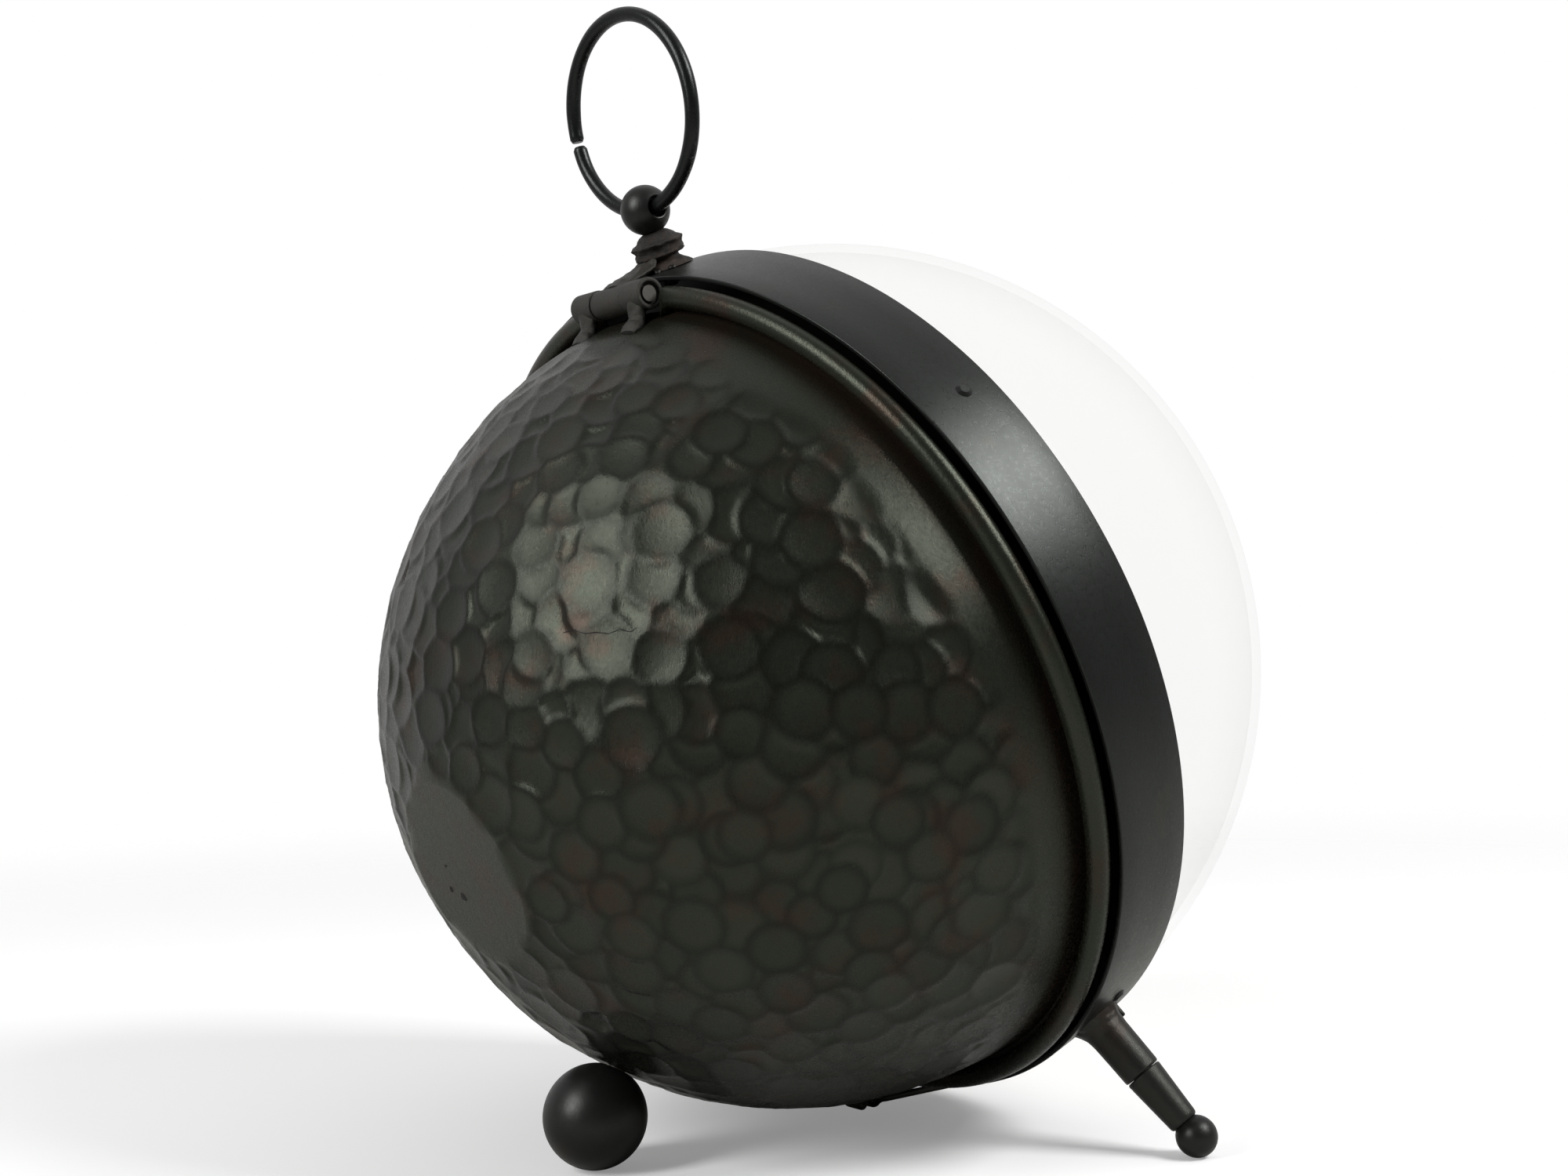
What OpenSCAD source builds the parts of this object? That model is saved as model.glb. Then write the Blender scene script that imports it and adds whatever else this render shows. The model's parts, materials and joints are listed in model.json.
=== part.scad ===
// Pocket-watch table clock: a leaning case band with a clear dome and dial in front, a hinged
// hemispherical back, a crown and bow ring on top, and three ball-ended feet.
// World frame: +Z up, the face looks along -Y and leans back, origin on the floor under the middle.
// Case frame (module in_case): origin at the back bowl's sphere centre, +z out of the face,
// +y up the face, +x to the right as seen from the front.

/* [Case band] */
// Outer radius of the case band
band_r = 152; // [130:1:200]
// Thickness of the band
band_wall = 1.5; // [1.2:0.1:2.5]
// Width of the band from its rear edge to its front edge
band_w = 29.8; // [28:0.2:44]
// How far the band's rear edge stands behind the bowl's sphere centre
band_set = 4; // [3.5:0.1:4.5]
// Angle the face leans back
tilt = 22; // [18:0.5:26]
// Inward turn of the band's front lip
lip_w = 1.2; // [0.8:0.1:2]
// Thickness of the front lip
lip_t = 1.5; // [1:0.1:2.5]

/* [Dome and dial] */
// Wall of the clear dome
dome_wall = 3; // [2:0.1:5]
// Thickness of the dome's flange
flange_t = 2.2; // [1.6:0.1:3]
// Thickness of the gasket behind the flange
gasket_t = 2.2; // [1.5:0.1:3]
// Thickness of the dial plate
dial_t = 1.2; // [0.8:0.1:2]
// Angles of the dial clips from the top of the case
clip_angles = [52, 138, -52, -138]; // [-180:1:180]
// Width of a dial clip
clip_w = 12; // [8:0.5:20]
// Depth of a dial clip's foot along the band
clip_foot = 11; // [8:0.5:12]
// Metal thickness of a dial clip
clip_t = 1.5; // [1:0.1:2]
// Radius of a clip rivet
rivet_r = 1.5; // [1:0.1:2]

/* [Back bowl] */
// Sheet thickness of the bowl
bowl_wall = 1.5; // [1:0.1:2.5]
// Radius of the rolled rim bead
bead_r = 3.6; // [3:0.1:4]
// Width of the groove between bowl and bead
groove_w = 1.6; // [1:0.1:3]
// Radial gap between the bead and the inside of the band
bead_gap = 0.7; // [0.5:0.1:2]
// Distance of the bead behind the band's rear edge
bead_back = 0.9; // [0.6:0.1:1.2]
// Radius of the flat disc at the bowl's pole
disc_r = 31.5; // [20:0.5:45]

/* [Feet] */
// Radius of the ball foot on the bowl
foot_r = 17; // [12:0.5:22]
// Angle of the ball foot below the bowl's axis
foot_angle = 36.5; // [32:0.5:42]
// Depth the ball foot is seated onto the bowl
foot_seat = 1.1; // [0.6:0.1:2]
// Radius of the ball foot's stud
foot_stud_r = 3; // [2:0.1:4]
// Angle of each leg from the bottom of the case
leg_splay = 37; // [25:1:45]
// Length of a leg socket outside the band
socket_len = 22.3; // [16:0.1:28]
// Leg radius where the socket meets the band
leg_root_r = 6.8; // [5.5:0.1:8]
// Leg radius at the joint of socket and leg
leg_mid_r = 6.5; // [5:0.1:7.5]
// Leg radius at its ball
leg_tip_r = 5; // [3.5:0.1:5.5]
// Radius of a leg ball
leg_ball_r = 6.8; // [6:0.1:9]
// Radius of the spigot that screws a leg into its socket
spigot_r = 4; // [2.5:0.1:4.5]
// Length of that spigot
spigot_len = 14; // [8:0.5:15]

/* [Crown and bow] */
// Height of the crown ball's centre above the band
crown_rise = 20.4; // [18:0.2:26]
// Radius of the crown ball
crown_ball_r = 8.4; // [8:0.1:11]
// Radius of the hole the bow ring passes through
crown_hole_r = 4.3; // [4.2:0.1:4.5]
// Radius of the crown stud
crown_stud_r = 2.5; // [1.5:0.1:3]
// Radius of the ring wire
bow_wire_r = 2.5; // [1.5:0.1:2.6]
// Radius of the ring's centreline
bow_r = 32; // [28:0.5:50]
// Lean of the ring forward of the case's own up direction
bow_lean = 11.6; // [0:0.2:20]
// Turn of the ring about its own upright
bow_yaw = 3.3; // [-4:0.1:4]
// Sideways lean of the ring
bow_side = 2.5; // [-3:0.1:3]

/* [Hinge] */
// Radius of the hinge knuckles
knuckle_r = 5.25; // [4.5:0.05:5.5]
// Radius of the hinge pin
hinge_pin_r = 2.65; // [2:0.05:3]
// Length of the middle knuckle, on the band
barrel_len = 17.5; // [10:0.5:24]
// Length of each outer knuckle, on the bowl
lug_len = 11.5; // [8:0.5:15]
// Distance of the hinge axis behind the bowl's sphere centre
hinge_back = 12.5; // [12:0.1:14]
// Distance of the hinge axis inside the band's inner face
hinge_drop = 3; // [2.5:0.1:3.2]

/* [Latch] */
// Radius of the lever and base knuckles
latch_r = 2.6; // [2.2:0.1:2.8]
// Radius of the latch pin and of the loop's wire
latch_wire_r = 1.25; // [1:0.05:1.4]
// Width of the latch lever
lever_w = 8; // [6:0.5:9]
// Distance from the latch pin to the loop's pivot
lever_throw = 8.2; // [7:0.1:9]
// Distance from the loop's pivot to the lever's curled end
lever_tail = 8; // [6.5:0.1:9]

/* [Clock works] */
// Side of the square movement case
works_side = 58; // [56:1:70]
// Depth of the movement case
works_depth = 16.5; // [16.5:0.1:20]
// Wall of the movement case
works_wall = 1.4; // [1:0.1:2]
// Radius of the threaded bush
bush_r = 4; // [3.5:0.1:5]
// Length of the minute hand from the centre
minute_len = 112; // [60:1:125]
// Length of the hour hand from the centre
hour_len = 78; // [40:1:100]

/* [Fits] */
// Clearance between parts that slide or seat loosely
seat_gap = 0.3; // [0.3:0.05:0.5]
// Running clearance of a pin or shaft
run_gap = 0.06; // [0.03:0.01:0.09]

/* [Hidden] */
$fn = 96;

iron = [0.17, 0.18, 0.16];
worn_iron = [0.24, 0.22, 0.19];
far = 400;                                   // longer than any cut needs
join = 0.1;                                  // how far shapes of one piece run into each other

// Band and bowl
band_in = band_r - band_wall;
band_front = band_w - band_set;
band_mid = (band_front - band_set) / 2;
bead_ring_r = band_in - bead_gap - bead_r;
bead_s = -band_set - bead_back - bead_r;     // bead centre along the case axis
bowl_r = bead_ring_r - bead_r - groove_w;
rim_s = bead_s + bead_r;                     // front of the bowl's rim
disc_s = -sqrt(bowl_r * bowl_r - disc_r * disc_r);

// Dome and dial, stacked back from the front lip
lip_in = band_in - lip_w;
flange_s = band_front - lip_t - seat_gap - flange_t;
dome_r = lip_in - seat_gap;
dome_in = dome_r - dome_wall;
gasket_s = flange_s - gasket_t;
dial_s = gasket_s - dial_t;                  // back of the dial plate
dial_face = gasket_s;
seat_r = band_in - seat_gap;
clip_lip = 10.5;                             // reach of a clip behind the dial plate
rivet_s = dial_s - clip_t - 2.9;
rivet_head_r = 2.6;
rivet_head_t = 0.8;
rivet_seat = sqrt(pow(band_in - clip_t, 2) - pow(rivet_head_r, 2));   // where a flat head meets the clip

// Where the case stands
foot_dist = bowl_r + foot_r - foot_seat;
case_z = foot_r + foot_dist * sin(foot_angle + tilt);
case_y = (flange_s * cos(tilt) + dome_r - bowl_r) / 2;
leg_reach = (case_z - leg_ball_r + band_mid * sin(tilt)) / (cos(leg_splay) * cos(tilt));
leg_start = band_r + socket_len;
foot_hole_depth = 10;
foot_nut_t = 4;
foot_washer_t = 1.2;
stud_end = bowl_r - bowl_wall - 7;           // inner end of the ball foot's stud
ball_pin_r = 2.5;
ball_pin_len = 5.5;
ball_pin_end = leg_reach - leg_ball_r + ball_pin_len;
leg_flare = 2.4;                             // spread of a socket where it is welded to the band

// Crown
crown_h = band_r + crown_rise;
crown_stud_top = crown_h - crown_hole_r - 0.6;
crown_nut_t = 3.6;
crown_stud_foot = band_in - crown_nut_t - 1;
bow_gap_angle = 3;
bow_gap_at = -8;
// Outline of the crown collar as [radius, height above the band]
collar = [[crown_stud_r, -2], [7, -2], [6.4, 1], [5.4, 2.4], [5.4, 3], [7.8, 3.6], [7.8, 4.8], [6, 5.4],
    [8.4, 6.2], [8.6, 7.6], [6.6, 9.2], [5, 10.6], [5, crown_rise], [crown_stud_r, crown_rise]];

// Hinge
hinge_h = band_in - hinge_drop;
leaf_t = 1.5;
leaf_reach = 5.6;
pin_half = barrel_len / 2 + lug_len + seat_gap - 0.7;
// Outline of a lug's foot from the hinge axis, as [along the case axis, up the face]
lug_foot = [[-4.5, 2], [2, -4.8], [1, -9], [-9.5, -12], [-6.5, -4]];

// Latch: points are [along the case axis, down from the case centre]
latch_pivot = [bead_s - bead_r - 4.4, bowl_r + 7.3];
loop_pivot = latch_pivot + lever_throw * [-0.966, -0.26];
lever_end = loop_pivot + lever_tail * [-0.93, -0.37];
loop_half = 8;
loop_bar = [band_mid - 0.4, band_r + 8];
ear_t = 1.7;
ear_gap = 0.3;                               // between an ear and the lever
latch_foot_w = 14;
latch_foot_t = 1.5;
lever_t = [2.4, 1.8];                        // lever thickness before and behind the loop's pivot
bend_r = latch_wire_r + 0.2;                 // the loop's hammered bends
keeper_t = 1.5;
keeper_len = 20;
keeper_lip_t = 2;
keeper_half = 5.5;
keeper_tip = loop_bar[1] - latch_wire_r - 0.55;

// Clock works, all along the case axis
works_s = dial_s - works_depth;
cover_t = 1.5;
washer_t = 0.8;
nut_t = 2.5;
tube_r = 2.7;
arbor_r = 1.8;
bush_top = dial_face + washer_t + nut_t + 1.2;
bush_collar_t = 2;
bush_foot = dial_s - works_wall - bush_collar_t;
hour_s = bush_top + 0.8;
hour_t = 1;
minute_s = hour_s + hour_t + 1.6;
minute_t = 0.9;
minute_turn = 60;                            // the hands stand at ten past ten
hour_turn = 305;
shaft_foot = works_s + 4;
arbor_foot = shaft_foot - 1.5;
hour_w = 7.5;
minute_w = 6;
cell_r = 7.1;
cell_len = 50;
cell_cap_r = 2.6;
cell_cap_t = 1.2;
cell_at = -(works_side / 2 - works_wall - cell_r - 0.5);
knob_at = [14, 12];
knob_stem_r = 1.5;
knob_r = 5;
knob_t = 4.5;
knob_gap = 0.5;                              // knob clear of the cover
stem_seat = 3;                               // depth the stem is pressed into the knob

module in_case() translate([0, case_y, case_z]) rotate([90 - tilt, 0, 0]) children();

// Points the children's +z outward from the case axis, at an angle from the bottom of the case
module radial(angle, s) rotate([0, 0, angle]) translate([0, 0, s]) rotate([90, 0, 0]) children();

// Draws a shape given as [along the axis, up the face] and gives it a width across the case
module across(width) rotate([0, -90, 0]) linear_extrude(height = width, center = true) children();

module band_core() translate([0, 0, -far / 2]) cylinder(r = band_r, h = far, $fn = 180);

module ring(r_out, r_in, s, t) translate([0, 0, s]) difference() {
    cylinder(r = r_out, h = t, $fn = 180);
    translate([0, 0, -1]) cylinder(r = r_in, h = t + 2, $fn = 180);
}

// A round rod between two points
module rod(a, b, r) {
    d = b - a;
    len = norm(d);
    translate(a) rotate([0, acos(d[2] / len), atan2(d[1], d[0])]) cylinder(r = r, h = len, $fn = 32);
}

// A flat bar between two points in a plane
module bar(a, b, t) {
    d = b - a;
    translate(a) rotate(atan2(d[1], d[0])) translate([0, -t / 2]) square([norm(d), t]);
}

module hinge_line() translate([0, hinge_h, -hinge_back]) rotate([0, 90, 0]) children();

module at_foot() rotate([180 - foot_angle, 0, 0]) children();

module at_clips() for (a = clip_angles) radial(180 + a, 0) children();

module clip_holes() at_clips() translate([0, rivet_s, band_in - 20]) cylinder(r = rivet_r, h = 40, $fn = 32);

// ---- Case band and what it carries ----

module band() color(iron) in_case() difference() {
    union() {
        ring(band_r, band_in, -band_set, band_w);
        ring(band_r, lip_in, band_front - lip_t, lip_t);
    }
    clip_holes();
    radial(180, band_mid) cylinder(r = crown_stud_r, h = far, $fn = 32);
}

module glass_dome() color([0.9, 0.95, 0.95, 0.3]) in_case() translate([0, 0, flange_s])
    rotate_extrude($fn = 180) {
        difference() {
            intersection() {
                circle(r = dome_r, $fn = 180);
                square(dome_r);
            }
            circle(r = dome_in, $fn = 180);
        }
        translate([dome_in + 1, 0]) square([seat_r - dome_in - 1, flange_t]);
    }

module dome_gasket() color([0.08, 0.08, 0.08]) in_case()
    ring(seat_r, dome_in - 1, gasket_s, gasket_t);

module dial_plate() color([0.93, 0.9, 0.82]) in_case() ring(seat_r, bush_r, dial_s, dial_t);

module dial_clips() color(worn_iron) in_case() difference() {
    at_clips() {
        intersection() {
            translate([-clip_w / 2, dial_s - clip_foot, band_in - 6]) cube([clip_w, clip_foot, 6 + clip_t]);
            rotate([90, 0, 0]) difference() {
                translate([0, 0, -far / 2]) cylinder(r = band_in, h = far, $fn = 180);
                translate([0, 0, -far / 2]) cylinder(r = band_in - clip_t, h = far, $fn = 180);
            }
        }
        translate([-clip_w / 2, dial_s - clip_t, band_in - clip_lip - clip_t])
            cube([clip_w, clip_t, clip_lip + clip_t / 3]);
    }
    clip_holes();
}

module clip_rivets() color(iron) in_case() at_clips() translate([0, rivet_s, 0]) {
    translate([0, 0, rivet_seat - rivet_head_t]) cylinder(r = rivet_head_r, h = rivet_head_t, $fn = 32);
    translate([0, 0, rivet_seat - join]) cylinder(r = rivet_r, h = band_r - rivet_seat + 2 * join, $fn = 32);
    translate([0, 0, band_r]) cylinder(r1 = rivet_head_r, r2 = rivet_r, h = rivet_head_t, $fn = 32);
}

// ---- Clock works ----

module movement_case() color([0.12, 0.12, 0.13]) in_case() difference() {
    translate([-works_side / 2, -works_side / 2, works_s]) cube([works_side, works_side, works_depth]);
    translate([works_wall - works_side / 2, works_wall - works_side / 2, works_s - 1])
        cube([works_side - 2 * works_wall, works_side - 2 * works_wall, works_depth - works_wall + 1]);
    translate([0, 0, works_s]) cylinder(r = bush_r, h = far, $fn = 48);
}

module movement_cover() color([0.15, 0.15, 0.16]) in_case() difference() {
    translate([-works_side / 2, -works_side / 2, works_s - cover_t]) cube([works_side, works_side, cover_t]);
    translate([-cell_len / 2 + 3, cell_at - cell_r + 2, works_s - far / 2])
        cube([cell_len - 6, 2 * cell_r - 4, far]);
    translate([knob_at[0], knob_at[1], works_s - far / 2])
        cylinder(r = knob_stem_r + run_gap, h = far, $fn = 32);
}

module battery() color([0.75, 0.6, 0.3]) in_case()
    translate([-cell_len / 2, cell_at, works_s + cell_r + 0.2]) rotate([0, 90, 0]) {
        cylinder(r = cell_r, h = cell_len - cell_cap_t, $fn = 48);
        translate([0, 0, cell_len - cell_cap_t]) cylinder(r = cell_cap_r, h = cell_cap_t, $fn = 32);
    }

module shaft_bush() color([0.8, 0.68, 0.4]) in_case() difference() {
    union() {
        translate([0, 0, bush_foot]) cylinder(r = bush_r, h = bush_top - bush_foot, $fn = 48);
        translate([0, 0, bush_foot]) cylinder(r = bush_r + 2, h = bush_collar_t, $fn = 48);
    }
    translate([0, 0, works_s]) cylinder(r = tube_r + run_gap, h = far, $fn = 48);
}

module bush_washer() color([0.8, 0.68, 0.4]) in_case() ring(bush_r + 5, bush_r, dial_face, washer_t);

module bush_nut() color([0.8, 0.68, 0.4]) in_case() translate([0, 0, dial_face + washer_t]) difference() {
    cylinder(r = bush_r + 3, h = nut_t, $fn = 6);
    translate([0, 0, -1]) cylinder(r = bush_r, h = nut_t + 2, $fn = 48);
}

module hour_tube() color([0.8, 0.68, 0.4]) in_case() difference() {
    translate([0, 0, shaft_foot]) cylinder(r = tube_r, h = hour_s + hour_t - shaft_foot, $fn = 48);
    translate([0, 0, shaft_foot - 1]) cylinder(r = arbor_r + run_gap, h = far, $fn = 48);
}

module minute_arbor() color([0.8, 0.68, 0.4]) in_case()
    translate([0, 0, arbor_foot]) cylinder(r = arbor_r, h = minute_s + minute_t - arbor_foot, $fn = 48);

// A tapering hand with a round boss, an open spade and a short tail, pointing along [0, 1]
module hand_outline(len, width) {
    circle(r = width, $fn = 48);
    polygon([[-width * 0.42, -1], [width * 0.42, -1], [width * 0.3, len * 0.68], [0, len],
        [-width * 0.3, len * 0.68]]);
    translate([0, len * 0.66]) circle(r = width * 0.8, $fn = 48);
    polygon([[-width * 0.42, -len * 0.18], [width * 0.42, -len * 0.18], [width * 0.5, 0], [-width * 0.5, 0]]);
}

module hour_hand() color([0.05, 0.05, 0.05]) in_case() translate([0, 0, hour_s]) difference() {
    rotate(-hour_turn) linear_extrude(height = hour_t) hand_outline(hour_len, hour_w);
    translate([0, 0, -1]) cylinder(r = tube_r, h = 4, $fn = 48);
}

module minute_hand() color([0.05, 0.05, 0.05]) in_case() translate([0, 0, minute_s]) difference() {
    rotate(-minute_turn) linear_extrude(height = minute_t) hand_outline(minute_len, minute_w);
    translate([0, 0, -1]) cylinder(r = arbor_r, h = 4, $fn = 48);
}

module hand_cap() color([0.8, 0.68, 0.4]) in_case() translate([0, 0, minute_s + minute_t]) {
    cylinder(r = 3.4, h = 1.2, $fn = 48);
    translate([0, 0, 1.2]) cylinder(r1 = 3.4, r2 = 2, h = 1, $fn = 48);
}

module at_knob() translate([knob_at[0], knob_at[1], works_s - cover_t - knob_gap]) children();

module set_knob() color([0.1, 0.1, 0.1]) in_case() at_knob() translate([0, 0, -knob_t]) difference() {
    cylinder(r = knob_r, h = knob_t, $fn = 48);
    for (a = [0 : 20 : 340]) rotate(a) translate([knob_r + 0.2, 0, -1]) cylinder(r = 0.6, h = 7, $fn = 24);
    translate([0, 0, knob_t - stem_seat]) cylinder(r = knob_stem_r, h = stem_seat + 1, $fn = 32);
}

module knob_stem() color([0.7, 0.7, 0.7]) in_case() at_knob() translate([0, 0, -stem_seat])
    cylinder(r = knob_stem_r, h = stem_seat + knob_gap + cover_t + 6, $fn = 32);

// ---- Crown and bow ----

module crown_collar() color(worn_iron) in_case() difference() {
    radial(180, band_mid) translate([0, 0, band_r]) rotate_extrude() polygon(collar);
    band_core();
    radial(180, band_mid) translate([0, 0, crown_h]) sphere(r = crown_ball_r);
}

module crown_stud() color(iron) in_case() radial(180, band_mid)
    translate([0, 0, crown_stud_foot])
        cylinder(r = crown_stud_r, h = crown_stud_top - crown_stud_foot, $fn = 32);

module crown_nut() color(iron) in_case() radial(180, band_mid)
    translate([0, 0, band_in - crown_nut_t - 0.2]) difference() {
    cylinder(r = crown_stud_r + 2, h = crown_nut_t, $fn = 6);
    translate([0, 0, -1]) cylinder(r = crown_stud_r, h = 6, $fn = 32);
}

module crown_ball() color(iron) in_case() radial(180, band_mid) difference() {
    translate([0, 0, crown_h]) sphere(r = crown_ball_r);
    translate([0, 0, crown_h]) rotate([0, 90, 0]) cylinder(r = crown_hole_r, h = 40, center = true);
    translate([0, 0, band_r]) cylinder(r = crown_stud_r, h = crown_stud_top + 0.2 - band_r, $fn = 32);
}

module bow_ring() color(iron) in_case() translate([0, crown_h, band_mid])
    rotate([bow_lean, 0, 0]) rotate([0, bow_yaw, bow_side]) translate([0, bow_r, 0])
    rotate(bow_gap_at) rotate_extrude(angle = 360 - bow_gap_angle)
    translate([bow_r, 0]) circle(r = bow_wire_r, $fn = 32);

// ---- Legs on the band; side is 1 for right and -1 for left ----

module leg_socket(side) color(worn_iron) in_case() difference() {
    radial(side * leg_splay, band_mid) rotate_extrude() polygon([
        [0, band_r - 4], [leg_root_r + leg_flare, band_r - 4], [leg_root_r + leg_flare - 0.4, band_r + 0.6],
        [leg_root_r, band_r + 5], [leg_mid_r, leg_start], [0, leg_start]]);
    band_core();
    radial(side * leg_splay, band_mid) translate([0, 0, leg_start - spigot_len])
        cylinder(r = spigot_r, h = spigot_len + 1, $fn = 48);
}

module leg(side) color(iron) in_case() difference() {
    radial(side * leg_splay, band_mid) {
        translate([0, 0, leg_start + 0.25])
            cylinder(r1 = leg_mid_r, r2 = leg_tip_r, h = leg_reach - 3 - leg_start - 0.25, $fn = 64);
        translate([0, 0, leg_start - spigot_len + 0.5]) cylinder(r = spigot_r, h = spigot_len + 1, $fn = 48);
    }
    difference() {
        radial(side * leg_splay, band_mid) translate([0, 0, leg_reach]) sphere(r = leg_ball_r);
        radial(side * leg_splay, band_mid) cylinder(r = ball_pin_r, h = ball_pin_end, $fn = 32);
    }
}

module leg_ball(side) color(iron) in_case() radial(side * leg_splay, band_mid) difference() {
    translate([0, 0, leg_reach]) sphere(r = leg_ball_r);
    cylinder(r = ball_pin_r, h = ball_pin_end, $fn = 32);
}

module leg_socket_left() leg_socket(-1);
module leg_socket_right() leg_socket(1);
module leg_left() leg(-1);
module leg_right() leg(1);
module leg_ball_left() leg_ball(-1);
module leg_ball_right() leg_ball(1);

// ---- Hinge at the top of the case ----

module hinge_barrel() color(iron) in_case() difference() {
    union() {
        hinge_line() cylinder(r = knuckle_r, h = barrel_len, center = true, $fn = 64);
        intersection() {
            ring(band_in, band_in - leaf_t, -hinge_back, hinge_back + leaf_reach);
            translate([-barrel_len / 2, 0, -far / 2]) cube([barrel_len, far, far]);
        }
    }
    hinge_line() cylinder(r = hinge_pin_r + run_gap, h = far, center = true, $fn = 48);
}

module hinge_lugs() color(iron) in_case() difference() {
    for (side = [-1, 1]) translate([side * (barrel_len / 2 + seat_gap + lug_len / 2), 0, 0]) {
        hinge_line() cylinder(r = knuckle_r, h = lug_len, center = true, $fn = 64);
        across(lug_len - 3) translate([-hinge_back, hinge_h])
            polygon(lug_foot);
    }
    hinge_line() cylinder(r = hinge_pin_r, h = far, center = true, $fn = 48);
    for (side = [-1, 1]) translate([side * (pin_half + 10), 0, 0])
        hinge_line() cylinder(r = hinge_pin_r + 1, h = 20, center = true, $fn = 48);
    sphere(r = bowl_r, $fn = 180);
}

module hinge_pin() color(worn_iron) in_case() hinge_line()
    cylinder(r = hinge_pin_r, h = 2 * pin_half, center = true, $fn = 48);

// ---- Hinged back ----

module bowl_profile() {
    difference() {
        intersection() {
            circle(r = bowl_r, $fn = 180);
            translate([0, disc_s]) square([bowl_r, rim_s - disc_s]);
        }
        intersection() {
            circle(r = bowl_r - bowl_wall, $fn = 180);
            translate([-1, disc_s + bowl_wall]) square([bowl_r, bowl_r]);
        }
    }
    translate([bowl_r - bowl_wall, rim_s - bowl_wall]) square([bead_ring_r - bowl_r + bowl_wall, bowl_wall]);
    translate([bead_ring_r, bead_s]) circle(r = bead_r, $fn = 48);
}

module back_bowl() color(iron) in_case() difference() {
    rotate_extrude($fn = 180) bowl_profile();
    // Clearance for the hinge in the rim bead
    hinge_line() cylinder(r = knuckle_r + 0.5, h = barrel_len + 2 * lug_len + 2, center = true, $fn = 64);
    translate([-barrel_len / 2 - 1, band_in - leaf_t - 0.7, -40]) cube([barrel_len + 2, 10, 45]);
    at_foot() cylinder(r = foot_stud_r, h = far, $fn = 48);
}

module foot_ball() color(iron) in_case() difference() {
    at_foot() translate([0, 0, foot_dist]) sphere(r = foot_r, $fn = 120);
    sphere(r = bowl_r, $fn = 180);
    at_foot() cylinder(r = foot_stud_r, h = bowl_r + foot_hole_depth + 0.5, $fn = 48);
}

module foot_stud() color(iron) in_case() at_foot()
    translate([0, 0, stud_end]) cylinder(r = foot_stud_r, h = bowl_r + foot_hole_depth - stud_end, $fn = 48);

module foot_washer() color(worn_iron) in_case() at_foot()
    ring(foot_stud_r + 4, foot_stud_r, bowl_r - bowl_wall - foot_washer_t - seat_gap, foot_washer_t);

module foot_nut() color(worn_iron) in_case() at_foot()
    translate([0, 0, bowl_r - bowl_wall - foot_washer_t - seat_gap - foot_nut_t]) difference() {
    cylinder(r = foot_stud_r + 2.8, h = foot_nut_t, $fn = 6);
    translate([0, 0, -1]) cylinder(r = foot_stud_r, h = 6, $fn = 48);
}

// ---- Draw latch at the bottom ----

function below(p) = [p[0], -p[1]];

module latch_holes(p, r) translate([0, -p[1], p[0]]) rotate([0, 90, 0])
    cylinder(r = r, h = far, center = true, $fn = 32);

module latch_base() color(iron) in_case() difference() {
    union() {
        intersection() {
            sphere(r = bowl_r + latch_foot_t, $fn = 180);
            translate([-latch_foot_w / 2, -far, lever_end[0]])
                cube([latch_foot_w, far, latch_pivot[0] + 3 - lever_end[0]]);
        }
        for (side = [-1, 1]) translate([side * (lever_w / 2 + ear_gap + ear_t / 2), 0, 0]) across(ear_t) {
            translate(below(latch_pivot)) circle(r = latch_r, $fn = 32);
            bar(below(latch_pivot), below([latch_pivot[0] - 1, bowl_r - 1]), 2 * latch_r);
        }
    }
    sphere(r = bowl_r, $fn = 180);
    latch_holes(latch_pivot, latch_wire_r);
}

module latch_pin() color(worn_iron) in_case()
    translate([0, -latch_pivot[1], latch_pivot[0]]) rotate([0, 90, 0])
    cylinder(r = latch_wire_r, h = lever_w + 2 * ear_t + 1, center = true, $fn = 32);

module latch_lever() color(iron) in_case() difference() {
    across(lever_w) {
        for (p = [latch_pivot, loop_pivot]) translate(below(p)) circle(r = latch_r, $fn = 32);
        translate(below(lever_end)) circle(r = latch_r - 0.3, $fn = 32);
        bar(below(latch_pivot), below(loop_pivot), lever_t[0]);
        bar(below(loop_pivot), below(lever_end), lever_t[1]);
    }
    latch_holes(latch_pivot, latch_wire_r + run_gap);
    latch_holes(loop_pivot, latch_wire_r + run_gap);
}

module latch_loop() color(worn_iron) in_case() {
    for (side = [-1, 1]) {
        hook = [side * lever_w / 4, -loop_pivot[1], loop_pivot[0]];
        knee = [side * loop_half, -loop_pivot[1], loop_pivot[0]];
        corner = [side * loop_half, -loop_bar[1], loop_bar[0]];
        rod(hook, knee, latch_wire_r);
        rod(knee, corner, latch_wire_r);
        for (bend = [knee, corner]) translate(bend) sphere(r = bend_r, $fn = 32);
    }
    rod([-loop_half, -loop_bar[1], loop_bar[0]], [loop_half, -loop_bar[1], loop_bar[0]], latch_wire_r);
}

module latch_keeper() color(iron) in_case() intersection() {
    union() {
        ring(band_r + keeper_t, band_r, band_mid - 11, keeper_len);
        ring(keeper_tip, band_r, band_mid - 5.4, keeper_lip_t);
    }
    translate([-keeper_half, -far, -far / 2]) cube([2 * keeper_half, far, far]);
}

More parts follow.
